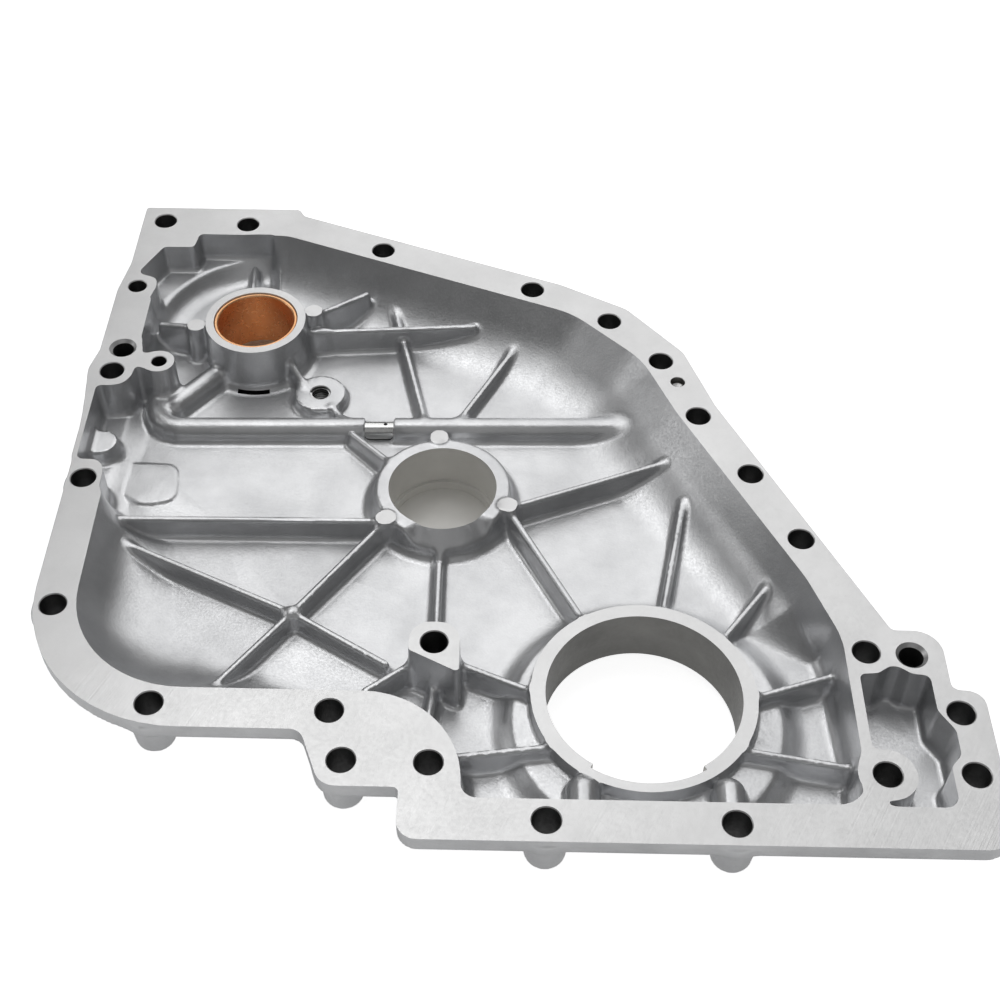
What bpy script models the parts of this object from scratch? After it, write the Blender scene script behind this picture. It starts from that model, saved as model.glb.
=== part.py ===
"""Timing cover of a diesel engine: one ribbed aluminium casting, its bronze drive bush and its oil tube.

The cover lies on its outer bosses with the gasket face up. Sizes are in metres, written as millimetres
times MM. Plan places are measured from the crank axis, and depths are measured down from the gasket face.
"""

import math

import bmesh
import bpy
from mathutils import Matrix, Vector

MM = 0.001

# Heights of the casting
COVER_HEIGHT = 42.0
CAVITY_DEPTH = 24.0
FLOOR_WALL = 5.5
FLANGE_THICKNESS = 8.0
MACHINING_STOCK = 1.0
CORE_OVERRUN = 3.0
CUT_OVERRUN = 1.0
OUTER_BOSS_DRAFT = 2.0

# Clearance that keeps fitted pieces from touching
FIT_GAP = 0.3

# Flange bolts
BOLT_HOLE_DIAMETER = 11.0
BOLT_BOSS_DIAMETER = 19.0
BOLT_BOSS_DEPTH = 22.7
BOLT_BOSS_DRAFT = 1.6
SMALL_HOLE_DIAMETER = 8.8
LOBE_HOLE_DIAMETER = 7.0
LOBE_HOLE_DEPTH = 22.0
DOWEL_DIAMETER = 10.0
DOWEL_CHAMFER = 1.5
DOWEL_DEPTH = 12.0
LOCATING_HOLE_DIAMETER = 4.6
LOCATING_HOLE_DEPTH = 6.0

# Crank seal bore
CRANK_AXIS = (0.0, 0.0)
CRANK_BORE_DIAMETER = 79.2
CRANK_RING_DIAMETER = 91.2
CRANK_RING_FOOT = 92.8
CRANK_RING_DEPTH = 12.0
CRANK_BORE_END_DEPTH = 37.5
CRANK_SEAL_DIAMETER = 88.0
CRANK_BOSS_DIAMETER = 102.0
CRANK_LAND_CENTRE = (1.5, -7.5)
CRANK_LAND_DIAMETER = 110.0
CRANK_LAND_FOOT = 126.0
CRANK_LAND_DEPTH = 19.0
CRANK_NOTCH_WIDTH = 45.0
CRANK_NOTCH_RADIUS = 41.6
CRANK_NOTCH_DEPTH = 5.0

# Middle bore, which is closed at its outer end
CAM_AXIS = (-85.2, 111.7)
CAM_BORE_DIAMETER = 48.6
CAM_STEP_DIAMETER = 45.6
CAM_RING_DIAMETER = 61.0
CAM_RING_FOOT = 68.0
CAM_RING_DEPTH = 12.0
CAM_STEP_DEPTH = 33.0
CAM_BORE_END_DEPTH = 37.5
CAM_BOSS_DIAMETER = 60.0
CAM_PAD_DIAMETER = 8.6
CAM_PAD_CIRCLE = 62.6
CAM_PAD_ANGLES = (-20.0, 95.0, 219.0)
CAM_PAD_DROP = 0.6
CAM_SCOOP_ANGLES = (232.0, 327.0)
CAM_SCOOP_FALL = 11.0
CAM_SCOOP_INNER_FALL = 1.5
CAM_SCOOP_SPANS = 12

# Drive bush bore, also closed at its outer end
BUSH_AXIS = (-179.8, 209.5)
BUSH_INNER_DIAMETER = 36.8
BUSH_WALL = 1.6
BUSH_LENGTH = 29.0
BUSH_SET_BACK = 0.6
BUSH_CHAMFER = 0.8
BUSH_RING_DIAMETER = 48.2
BUSH_RING_FOOT = 51.0
BUSH_BORE_DEPTH = 33.0
BUSH_BOSS_DIAMETER = 56.0
BUSH_PAD_ANGLES = (24.2, 180.6)
BUSH_PAD_CIRCLE = 58.8
BUSH_PAD_DIAMETER = 8.6
BUSH_PAD_DEPTH = 4.0
DRAIN_SLOT_SIZE = (16.0, 3.6)
DRAIN_SLOT_DEPTH = 3.0
DRAIN_SLOT_HEIGHT = 4.0

# Threaded boss
THREAD_BOSS_AXIS = (-146.7, 177.8)
THREAD_BOSS_DIAMETER = 24.4
THREAD_BOSS_DEPTH = 18.0
THREAD_HOLE_DIAMETER = 9.2
THREAD_HOLE_DEPTH = 9.0

# Oil rail and the tube that bridges its gap
RAIL_START = (-211.5, 154.0)
RAIL_END = (0.5, 159.6)
RAIL_BEND_END = (-223.0, 170.0)
RAIL_RADIUS = 6.2
RAIL_TOP_DEPTH = 15.8
RAIL_GAP = (-123.6, -110.2)
TUBE_DIAMETER = 8.8
TUBE_SEAT = 7.0

# Through-bolted column near the crank bore
COLUMN_AXIS = (-84.6, 15.0)
COLUMN_CORNERS = (
    (-10.2, 10.2, 9.0),
    (10.2, 10.2, 9.0),
    (10.2, -14.8, 1.0),
    (-10.2, -4.0, 1.0),
)

# Ribs: width at the top, and draft as widening for each millimetre of height
RIB_TOP_WIDTH = 3.2
RIB_DRAFT = 0.07
RIB_ROOT = 3.0
RIB_KNOT = 1.0
RIB_KNOT_DEPTH = 14.7
PAD_DRAFT = 0.8

# Number of flats on round forms
ROUND_STEPS = 32
BORE_STEPS = 48
BOLT_STEPS = 16
PAD_STEPS = 14
RAIL_STEPS = 9
ARC_STEP = math.radians(15)
FILLET_STEPS = 5

# Bolts that a lobe stands round inside the cavity
CORNER_BOLT = (-242.6, 171.1)
CORNER_LOBE_RADIUS = 9.7
ISLAND_BOLT = (88.6, -43.4)
ISLAND_LOBE_RADIUS = 11.2
SMALL_BOLT = (-241.3, 233.0)
SMALL_LOBE_RADIUS = 8.7
LOBE_BOLT = (-221.7, 178.2)
LOBE_RADIUS = 7.2

FLANGE_BOLTS = (
    (-235.7, 285.9),
    (-192.7, 284.3),
    (-121.3, 265.0),
    (-45.2, 236.1),
    (-7.7, 213.3),
    (15.9, 185.1),
    (31.0, 148.1),
    (51.6, 111.9),
    (69.6, 73.9),
    (88.7, 14.1),
    (121.5, -14.7),
    ISLAND_BOLT,
    (122.2, -42.9),
    CORNER_BOLT,
    (-242.5, 101.7),
    (-240.9, 30.4),
    (-193.8, -17.4),
    (-123.7, -19.3),
    (-117.3, -41.7),
    (-84.3, -42.0),
    (-40.0, -65.9),
    (30.0, -65.9),
)
LEFT_DOWEL = (-240.3, 187.1)
RIGHT_DOWEL = (106.8, 13.0)
LOCATING_HOLE = (23.5, 169.4)

# Outlines: each corner is x, y and the radius of its rounding, clockwise from the top left
FLANGE_OUTLINE = (
    (-247.3, 297.1, 1.5),
    (-167.3, 297.6, 2.0),
    (-164.2, 292.2, 3.0),
    (-31.0, 240.3, 30.0),
    (1.0, 222.6, 14.0),
    (27.0, 191.5, 12.0),
    (39.6, 154.9, 15.0),
    (100.7, 25.5, 3.0),
    (120.0, 25.5, 11.0),
    (120.0, -3.4, 3.0),
    (132.4, -4.6, 7.0),
    (132.4, -74.9, 12.0),
    (-95.1, -74.9, 8.0),
    (-95.1, -53.1, 2.0),
    (-124.6, -53.1, 9.0),
    (-134.1, -28.2, 6.0),
    (-249.7, -27.9, 68.0),
    (-249.7, 133.1, 20.0),
    (-254.1, 172.1, 10.0),
    (-251.1, 185.1, 6.0),
    (-250.7, 230.1, 20.0),
    (-247.5, 251.1, 10.0),
)

# The dished cavity: x, y, corner radius, and the radius where its wall turns into its floor
CAVITY_OUTLINE = (
    (-233.0, 275.4, 52.0, 14.0),
    (-171.4, 275.4, 20.0, 14.0),
    (-25.9, 218.7, 42.0, 21.0),
    (6.7, 186.1, 45.0, 22.0),
    (21.2, 150.1, 25.0, 22.0),
    (69.2, 52.1, 60.0, 19.0),
    (80.0, 21.1, 40.0, 8.0),
    (80.0, -56.9, 12.0, 4.0),
    (-71.8, -56.9, 6.0, 4.0),
    (-72.9, -9.6, 40.0, 5.0),
    (-231.8, -9.6, 50.0, 18.0),
    (-232.9, 113.6, 0.0, 10.0),
)

# Bays that open off the cavity, and the oil pocket, with their depths
TOP_BAY = (
    (-216.1, 275.2, 2.0),
    (-180.0, 275.2, 0.0),
    (-178.0, 262.0, 0.0),
    (-222.0, 228.0, 0.0),
    (-232.7, 225.0, 0.0),
    (-232.7, 239.1, 3.0),
    (-241.3, 240.6, 3.0),
    (-241.3, 246.1, 4.0),
    (-232.8, 264.2, 2.0),
    (-217.6, 264.4, 2.6),
)
TOP_BAY_DEPTH = 15.5
LEFT_BAY = (
    (-247.6, 170.0, 0.0),
    (-228.0, 176.0, 0.0),
    (-224.0, 98.0, 0.0),
    (-232.3, 98.0, 0.0),
    (-232.3, 113.6, 10.0),
    (-247.6, 113.6, 2.5),
)
LEFT_BAY_DEPTH = 19.6
OIL_POCKET = (
    (84.9, 2.8, 2.0),
    (92.2, 3.3, 3.0),
    (98.7, 7.9, 5.0),
    (105.2, 3.3, 3.0),
    (112.0, 2.6, 2.5),
    (112.0, -13.9, 5.0),
    (117.5, -22.9, 4.0),
    (117.5, -33.9, 4.0),
    (112.9, -39.4, 4.0),
    (112.9, -56.9, 5.0),
    (84.9, -56.9, 5.0),
)
OIL_POCKET_DEPTH = 22.0
BAY_WALL = 2.1
CORNER_WEB = (
    (-252.0, 195.0, 0.0),
    (-232.9, 194.0, 3.0),
    (-230.3, 183.6, 2.0),
    (-221.7, 183.5, 0.0),
    (-221.7, 173.5, 0.0),
    (-233.0, 174.2, 2.0),
    (-236.0, 163.5, 4.0),
    (-252.0, 160.7, 0.0),
)

# Cast pad and hip-roofed recess beside the left bay
HALF_PAD = (
    (-250.0, 143.8, 0.0),
    (-235.9, 143.8, 7.2),
    (-235.9, 128.8, 7.2),
    (-250.0, 128.8, 0.0),
)
HALF_PAD_DEPTH = 12.2
RECESS_OUTLINE = (
    (-236.0, 133.5, 0.0),
    (-208.5, 133.0, 7.0),
    (-206.0, 110.5, 7.0),
    (-224.0, 107.0, 12.0),
    (-236.0, 115.0, 0.0),
)
RECESS_DEPTH = 1.0
ROOF_CORNERS = (
    (-235.0, 131.5),
    (-209.3, 131.0),
    (-208.5, 112.5),
    (-235.0, 112.5),
)
ROOF_RIDGE = (
    (-229.5, 121.3),
    (-214.0, 121.6),
)
ROOF_HEIGHT = 2.2

# Ribs: start, end, and the depth of the top at each. An end with three values is a place round a bore or
# boss, given by its axis, a radius and an angle in degrees.
RIB_CROSS = (-145.8, 41.0)
RIBS = (
    ((BUSH_AXIS, 20.2, 180.0), (-228.0, 215.8), 5.0, 9.0),
    ((BUSH_AXIS, 20.8, 18.2), (-128.5, 241.9), 6.0, 9.0),
    ((BUSH_AXIS, 23.5, 106.6), (-188.8, 268.0), 13.0, 15.0),
    ((BUSH_AXIS, 21.9, 6.5), (-147.2, 215.2), 9.0, 11.0),
    ((-150.5, 214.6), (-74.0, 221.0), 11.0, 11.0),
    ((BUSH_AXIS, 21.9, -43.0), (THREAD_BOSS_AXIS, 8.4, 150.0), 9.0, 18.0),
    ((-117.0, 250.0), (-95.5, 159.0), 17.0, 17.0),
    ((-52.0, 214.5), (-80.0, 159.0), 17.0, 17.0),
    ((THREAD_BOSS_AXIS, 11.9, -55.6), (-131.0, 157.0), 18.0, 18.0),
    ((-129.0, 148.0), (CAM_AXIS, 28.3, 147.3), 15.0, 13.0),
    ((CAM_AXIS, 29.6, -23.3), (16.0, 131.0), 13.0, 13.0),
    ((CAM_AXIS, 32.8, -22.8), (CRANK_AXIS, 42.4, 121.9), 13.0, 13.0),
    ((CAM_AXIS, 32.1, 217.8), (-226.0, 90.5), 13.0, 13.0),
    ((CAM_AXIS, 30.3, 218.2), RIB_CROSS, 13.0, 15.0),
    (RIB_CROSS, (-176.0, -1.0), 15.0, 15.0),
    ((-221.0, 77.1), RIB_CROSS, 15.0, 15.0),
    (RIB_CROSS, (-105.0, 16.0), 15.0, 16.0),
    ((CAM_AXIS, 26.7, -90.0), (COLUMN_AXIS, 7.0, 93.0), 17.0, 16.0),
    ((CRANK_AXIS, 44.1, 76.9), (23.0, 109.1), 14.0, 16.0),
    ((CRANK_AXIS, 45.3, 41.4), (61.5, 67.0), 14.0, 14.0),
    ((CRANK_AXIS, 43.0, 0.0), (82.0, 13.6), 13.0, 13.0),
    ((CRANK_AXIS, 46.3, -32.7), (83.0, -32.7), 13.0, 13.0),
    ((CRANK_AXIS, 42.0, 179.6), (COLUMN_AXIS, 8.6, 0.0), 13.0, 13.0),
    ((CRANK_AXIS, 45.5, 213.3), (-76.0, -30.5), 13.0, 13.0),
    ((COLUMN_AXIS, 5.6, 164.5), (-112.0, -0.6), 12.0, 12.0),
    ((COLUMN_AXIS, 7.0, -85.9), (-86.1, -9.0), 16.0, 16.0),
)
SEAL_BOSSES = ((-25.6, -38.5), (30.5, -38.5))
SEAL_BOSS_RADIUS = 6.6
SEAL_BOSS_DEPTH = 9.0
SEAL_BOSS_LENGTH = 25.0
DUCT_START = (BUSH_AXIS, 17.8, 222.0)
DUCT_END = (LOBE_BOLT, 11.2, -50.0)
DUCT_RADIUS = 6.0
DUCT_TOP_DEPTH = 15.0

CASTING_COLOUR = (0.56, 0.57, 0.58, 1.0)
BRONZE_COLOUR = (0.52, 0.22, 0.09, 1.0)
STEEL_COLOUR = (0.72, 0.72, 0.70, 1.0)


def outline_extent(corners, axis):
    """Lowest and highest value of an outline's corners along x (0) or y (1)."""
    values = [corner[axis] for corner in corners]
    return min(values), max(values)


X_RANGE = outline_extent(FLANGE_OUTLINE, 0)
Y_RANGE = outline_extent(FLANGE_OUTLINE, 1)
ORIGIN = ((X_RANGE[0] + X_RANGE[1]) / 2, (Y_RANGE[0] + Y_RANGE[1]) / 2)


def height(depth):
    """Height in millimetres above the rest plane, for a depth below the gasket face."""
    return COVER_HEIGHT - depth


def to_world(x, y, z):
    """World point in metres, for a plan place from the crank axis and a height in millimetres."""
    return Vector(((x - ORIGIN[0]) * MM, (y - ORIGIN[1]) * MM, z * MM))


def new_collection(name):
    collection = bpy.data.collections.new(name)
    bpy.context.scene.collection.children.link(collection)
    return collection


def clear_scene():
    for obj in list(bpy.data.objects):
        bpy.data.objects.remove(obj, do_unlink=True)


def add_object(name, mesh, collection, helper=True):
    """Object for a mesh. A helper is a cutter or a form that another piece takes up."""
    obj = bpy.data.objects.new(name, mesh)
    collection.objects.link(obj)
    if helper:
        obj.hide_render = True
        obj.display_type = "WIRE"
    return obj


def rounded_corners(corners):
    """Plan points of an outline with each corner rounded by an arc, and the corner values at each point.

    Values past the radius, such as a fillet radius, are carried along to the points of their arc.
    """
    points = []
    count = len(corners)
    for index, corner in enumerate(corners):
        here = Vector(corner[:2])
        radius = corner[2]
        extra = corner[3] if len(corner) > 3 else 0.0
        back = (Vector(corners[index - 1][:2]) - here).normalized()
        ahead = (Vector(corners[(index + 1) % count][:2]) - here).normalized()
        angle = back.angle(ahead)
        if radius <= 0.0 or angle > math.radians(179):
            points.append((here, extra))
            continue
        reach = radius / math.tan(angle / 2)
        centre = here + (back + ahead).normalized() * (radius / math.sin(angle / 2))
        first = here + back * reach - centre
        sweep = first.angle_signed(here + ahead * reach - centre)
        steps = max(2, math.ceil(abs(sweep) / ARC_STEP))
        for step in range(steps + 1):
            turned = first.copy()
            turned.rotate(Matrix.Rotation(-sweep * step / steps, 2))
            points.append((centre + turned, extra))
    return points


def circle_points(centre, radius, steps=ROUND_STEPS, start=0.0, sweep=math.tau):
    """Points round a circle or, with a sweep below a full turn, along an arc with both its ends."""
    spans = steps if sweep >= math.tau else steps - 1
    points = []
    for step in range(steps):
        angle = start + sweep * step / spans
        points.append(Vector((centre[0] + radius * math.cos(angle), centre[1] + radius * math.sin(angle))))
    return points


def weld(mesh):
    """Joins doubled points and turns all faces outwards."""
    work = bmesh.new()
    work.from_mesh(mesh)
    bmesh.ops.remove_doubles(work, verts=work.verts, dist=1e-6)
    work.normal_update()
    bmesh.ops.recalc_face_normals(work, faces=work.faces)
    work.to_mesh(mesh)
    work.free()


def plate(name, points, bottom, top, collection, helper=True):
    """Flat plate with the given plan outline, between two heights."""
    curve = bpy.data.curves.new(name, "CURVE")
    curve.dimensions = "2D"
    curve.fill_mode = "BOTH"
    curve.extrude = (top - bottom) / 2 * MM
    spline = curve.splines.new("POLY")
    spline.points.add(len(points) - 1)
    spline.use_cyclic_u = True
    middle = (top + bottom) / 2
    for spot, point in zip(spline.points, points):
        place = to_world(point[0], point[1], 0.0)
        spot.co = (place.x, place.y, 0.0, 1.0)
    source = bpy.data.objects.new(name + "_curve", curve)
    bpy.context.scene.collection.objects.link(source)
    bpy.context.view_layer.update()
    graph = bpy.context.evaluated_depsgraph_get()
    mesh = bpy.data.meshes.new_from_object(source.evaluated_get(graph))
    bpy.data.objects.remove(source, do_unlink=True)
    mesh.transform(Matrix.Translation((0.0, 0.0, middle * MM)))
    weld(mesh)
    return add_object(name, mesh, collection, helper)


def outline_plate(name, corners, bottom, top, collection, helper=True):
    """Plate whose outline is given by corners and their rounding radii."""
    return plate(name, [point for point, _ in rounded_corners(corners)], bottom, top, collection, helper)


def cone(name, centre, bottom, top, bottom_radius, top_radius, collection, steps=ROUND_STEPS):
    """Upright round boss or cutter, with a radius at each end."""
    work = bmesh.new()
    bmesh.ops.create_cone(
        work,
        cap_ends=True,
        segments=steps,
        radius1=bottom_radius * MM,
        radius2=top_radius * MM,
        depth=(top - bottom) * MM,
        matrix=Matrix.Translation(to_world(centre[0], centre[1], (top + bottom) / 2)),
    )
    mesh = bpy.data.meshes.new(name)
    work.to_mesh(mesh)
    work.free()
    return add_object(name, mesh, collection)


def rib(name, start, end, bottom, tops, widths, collection):
    """Straight rib with drafted sides, whose top runs between two heights."""
    along = Vector(end) - Vector(start)
    length = along.length
    side = Vector((-along.y, along.x)) / length
    work = bmesh.new()
    bmesh.ops.create_cube(work, size=1.0)
    for vert in work.verts:
        at_end = vert.co.x > 0
        at_top = vert.co.z > 0
        top = tops[1] if at_end else tops[0]
        half = widths[0] / 2
        if not at_top:
            half += (top - bottom) * widths[1]
        place = Vector(end if at_end else start) + side * (half if vert.co.y > 0 else -half)
        vert.co = to_world(place.x, place.y, top if at_top else bottom)
    work.normal_update()
    bmesh.ops.recalc_face_normals(work, faces=work.faces)
    mesh = bpy.data.meshes.new(name)
    work.to_mesh(mesh)
    work.free()
    return add_object(name, mesh, collection)


def round_top_bar(name, start, end, radius, top, bottom, collection):
    """Bar with a half-round top and straight sides, lying between two plan places."""
    along = Vector(end) - Vector(start)
    axis_height = top - radius
    profile = [Vector((-radius, bottom - axis_height)), Vector((radius, bottom - axis_height))]
    profile += circle_points((0.0, 0.0), radius, RAIL_STEPS, 0.0, math.pi)
    curve_points = [Vector((point.x + ORIGIN[0], point.y + ORIGIN[1])) for point in profile]
    bar = plate(name, curve_points, 0.0, along.length, collection)
    turn = Matrix(((0.0, 0.0, 1.0), (1.0, 0.0, 0.0), (0.0, 1.0, 0.0))).to_4x4()
    heading = Matrix.Rotation(math.atan2(along.y, along.x), 4, "Z")
    place = Matrix.Translation(to_world(start[0], start[1], axis_height))
    bar.data.transform(place @ heading @ turn)
    return bar


def lying_cylinder(name, start, end, radius, middle, collection, steps=16):
    """Cylinder along a plan line, with its axis at the height middle."""
    along = Vector(end) - Vector(start)
    heading = Matrix.Rotation(math.atan2(along.y, along.x), 4, "Z") @ Matrix.Rotation(math.pi / 2, 4, "Y")
    centre = (Vector(start) + Vector(end)) / 2
    work = bmesh.new()
    bmesh.ops.create_cone(
        work,
        cap_ends=True,
        segments=steps,
        radius1=radius * MM,
        radius2=radius * MM,
        depth=along.length * MM,
        matrix=Matrix.Translation(to_world(centre.x, centre.y, middle)) @ heading,
    )
    mesh = bpy.data.meshes.new(name)
    work.to_mesh(mesh)
    work.free()
    return add_object(name, mesh, collection)


def ball(name, centre, radius, middle, collection):
    """Rounded knuckle where two round-topped bars meet."""
    work = bmesh.new()
    spot = Matrix.Translation(to_world(centre[0], centre[1], middle))
    bmesh.ops.create_uvsphere(work, u_segments=BOLT_STEPS, v_segments=8, radius=radius * MM, matrix=spot)
    mesh = bpy.data.meshes.new(name)
    work.to_mesh(mesh)
    work.free()
    return add_object(name, mesh, collection)


def hip_roof(name, corners, ridge, base, top, collection):
    """Low roof over four plan corners, with its ridge between two places."""
    work = bmesh.new()
    foot = [work.verts.new(to_world(x, y, base)) for x, y in corners]
    left, right = (work.verts.new(to_world(x, y, top)) for x, y in ridge)
    work.faces.new(foot)
    work.faces.new((foot[0], foot[1], right, left))
    work.faces.new((foot[1], foot[2], right))
    work.faces.new((foot[2], foot[3], left, right))
    work.faces.new((foot[3], foot[0], left))
    work.normal_update()
    bmesh.ops.recalc_face_normals(work, faces=work.faces)
    mesh = bpy.data.meshes.new(name)
    work.to_mesh(mesh)
    work.free()
    return add_object(name, mesh, collection)


def dish(name, grow, floor, top, collection):
    """Loft of the cavity outline that turns into a flat floor by a quarter round.

    grow moves the wall outwards and adds to the quarter round, so the same outline gives the cavity and,
    a wall thickness outside it, the back of the casting.
    """
    path = rounded_corners(CAVITY_OUTLINE)
    count = len(path)
    inward = []
    for index in range(count):
        back = (path[index][0] - path[index - 1][0]).normalized()
        ahead = (path[(index + 1) % count][0] - path[index][0]).normalized()
        along = (back + ahead).normalized()
        inward.append(Vector((along.y, -along.x)))
    rings = []
    work = bmesh.new()
    for level in range(-1, FILLET_STEPS + 1):
        turn = math.pi / 2 * max(level, 0) / FILLET_STEPS
        ring = []
        for (point, fillet), normal in zip(path, inward):
            radius = fillet + grow
            shift = radius * (1 - math.cos(turn)) - grow
            place = point + normal * shift
            z = top if level < 0 else floor + radius * (1 - math.sin(turn))
            ring.append(work.verts.new(to_world(place.x, place.y, z)))
        rings.append(ring)
    for upper, lower in zip(rings, rings[1:]):
        for index in range(count):
            after = (index + 1) % count
            work.faces.new((upper[index], upper[after], lower[after], lower[index]))
    work.faces.new(rings[0])
    work.faces.new(rings[-1])
    work.normal_update()
    bmesh.ops.recalc_face_normals(work, faces=work.faces)
    mesh = bpy.data.meshes.new(name)
    work.to_mesh(mesh)
    work.free()
    return add_object(name, mesh, collection)


def boolean(obj, operation, operands):
    """One Boolean modifier for each operand, in order, so that operands may overlap each other."""
    for operand in operands:
        modifier = obj.modifiers.new(operand.name, "BOOLEAN")
        modifier.operation = operation
        modifier.solver = "EXACT"
        modifier.object = operand


def material(name, colour, roughness, metallic):
    finish = bpy.data.materials.new(name)
    finish.use_nodes = True
    shader = finish.node_tree.nodes["Principled BSDF"]
    shader.inputs["Base Color"].default_value = colour
    shader.inputs["Roughness"].default_value = roughness
    shader.inputs["Metallic"].default_value = metallic
    return finish


def grown(corners, distance):
    """Outline moved outwards, for the wall round a bay."""
    path = [point for point, _ in rounded_corners(corners)]
    moved = []
    for index, point in enumerate(path):
        back = (point - path[index - 1]).normalized()
        ahead = (path[(index + 1) % len(path)] - point).normalized()
        along = (back + ahead).normalized()
        moved.append(point + Vector((-along.y, along.x)) * distance)
    return moved


def turned(name, centre, profile, collection, helper=True, steps=48):
    """Round piece made by a Screw about its own axis. The profile runs down its outer side."""
    mesh = bpy.data.meshes.new(name)
    points = [(radius * MM, 0.0, z * MM) for radius, z in profile]
    edges = [(index, (index + 1) % len(points)) for index in range(len(points))]
    mesh.from_pydata(points, edges, [])
    obj = add_object(name, mesh, collection, helper)
    obj.location = to_world(centre[0], centre[1], 0.0)
    screw = obj.modifiers.new("turn", "SCREW")
    screw.steps = steps
    screw.render_steps = steps
    screw.use_merge_vertices = True
    screw.merge_threshold = 0.00001
    return obj


def on_circle(axis, radius, degrees):
    angle = math.radians(degrees)
    return axis[0] + radius * math.cos(angle), axis[1] + radius * math.sin(angle)


def plan_place(spot):
    """Plan place of a spot, which is written as x and y or as an axis, a radius and an angle."""
    return on_circle(*spot) if len(spot) == 3 else spot


def rail_place(x):
    """Plan place on the rail's axis at a given x."""
    share = (x - RAIL_START[0]) / (RAIL_END[0] - RAIL_START[0])
    return x, RAIL_START[1] + share * (RAIL_END[1] - RAIL_START[1])


def add_outer_forms(collection):
    """Everything outside the cavity that belongs to the casting: its back, bosses and bay walls."""
    floor = height(CAVITY_DEPTH)
    top = height(-MACHINING_STOCK / 2)
    dish("back", FLOOR_WALL, floor - FLOOR_WALL, top, collection)
    for index, (corners, depth) in enumerate(
        ((TOP_BAY, TOP_BAY_DEPTH), (LEFT_BAY, LEFT_BAY_DEPTH), (OIL_POCKET, OIL_POCKET_DEPTH))
    ):
        bottom = height(depth) - FLOOR_WALL
        plate("bay_wall_%d" % (index + 1), grown(corners, BAY_WALL), bottom, top, collection)
    for index, place in enumerate(FLANGE_BOLTS + (SMALL_BOLT, COLUMN_AXIS)):
        radius = BOLT_BOSS_DIAMETER / 2
        bottom = height(BOLT_BOSS_DEPTH) if place != COLUMN_AXIS else 0.0
        name = "bolt_boss_%02d" % (index + 1)
        tip = radius - BOLT_BOSS_DRAFT
        cone(name, place, bottom, height(FLANGE_THICKNESS / 2), tip, radius, collection, BOLT_STEPS)
    rounds = (
        ("crank_boss", CRANK_AXIS, CRANK_BOSS_DIAMETER / 2),
        ("cam_boss", CAM_AXIS, CAM_BOSS_DIAMETER / 2),
        ("bush_boss", BUSH_AXIS, BUSH_BOSS_DIAMETER / 2),
    )
    for name, axis, radius in rounds:
        cone(name, axis, 0.0, floor - FLOOR_WALL / 2, radius, radius + OUTER_BOSS_DRAFT, collection)


def add_core_bays(collection):
    """Hollows that join the dished cavity in the sand core."""
    top = height(-CORE_OVERRUN - CUT_OVERRUN / 2)
    outline_plate("top_bay", TOP_BAY, height(TOP_BAY_DEPTH), top, collection)
    outline_plate("left_bay", LEFT_BAY, height(LEFT_BAY_DEPTH), top, collection)
    outline_plate("oil_pocket", OIL_POCKET, height(OIL_POCKET_DEPTH), top, collection)


def add_rings(collection):
    """Rings round the three bores, with their drafted feet and location pads."""
    root = height(CAVITY_DEPTH) - RIB_ROOT
    over = height(-CORE_OVERRUN - CUT_OVERRUN)
    rings = (
        ("crank_land", CRANK_LAND_CENTRE, CRANK_LAND_FOOT, CRANK_LAND_DIAMETER, height(CRANK_LAND_DEPTH)),
        ("crank_ring", CRANK_AXIS, CRANK_RING_FOOT, CRANK_RING_DIAMETER, height(CRANK_RING_DEPTH)),
        ("bush_ring", BUSH_AXIS, BUSH_RING_FOOT, BUSH_RING_DIAMETER, over),
        ("cam_ring", CAM_AXIS, CAM_RING_FOOT, CAM_RING_DIAMETER, height(CAM_RING_DEPTH)),
    )
    for name, axis, foot, crown, top in rings:
        cone(name, axis, root, top, foot / 2, crown / 2, collection, BORE_STEPS)
    cam_pad_depth = CAM_RING_DEPTH - CAM_PAD_DROP
    pads = (
        ("cam_pad", CAM_AXIS, CAM_PAD_CIRCLE, CAM_PAD_ANGLES, CAM_PAD_DIAMETER, cam_pad_depth),
        ("bush_pad", BUSH_AXIS, BUSH_PAD_CIRCLE, BUSH_PAD_ANGLES, BUSH_PAD_DIAMETER, BUSH_PAD_DEPTH),
    )
    for name, axis, circle, angles, diameter, depth in pads:
        for index, degrees in enumerate(angles):
            place = on_circle(axis, circle / 2, degrees)
            label = "%s_%d" % (name, index + 1)
            foot = diameter / 2 + PAD_DRAFT
            cone(label, place, root, height(depth), foot, diameter / 2, collection, PAD_STEPS)


def add_ribs(collection):
    bottom = height(CAVITY_DEPTH) - RIB_ROOT
    for index, (start, end, first, last) in enumerate(RIBS):
        tops = (height(first), height(last))
        widths = (RIB_TOP_WIDTH, RIB_DRAFT)
        rib("rib_%02d" % (index + 1), plan_place(start), plan_place(end), bottom, tops, widths, collection)
    knot = RIB_TOP_WIDTH / 2 + RIB_KNOT
    cone("rib_knot", RIB_CROSS, bottom, height(RIB_KNOT_DEPTH), knot + PAD_DRAFT, knot, collection, PAD_STEPS)


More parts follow.
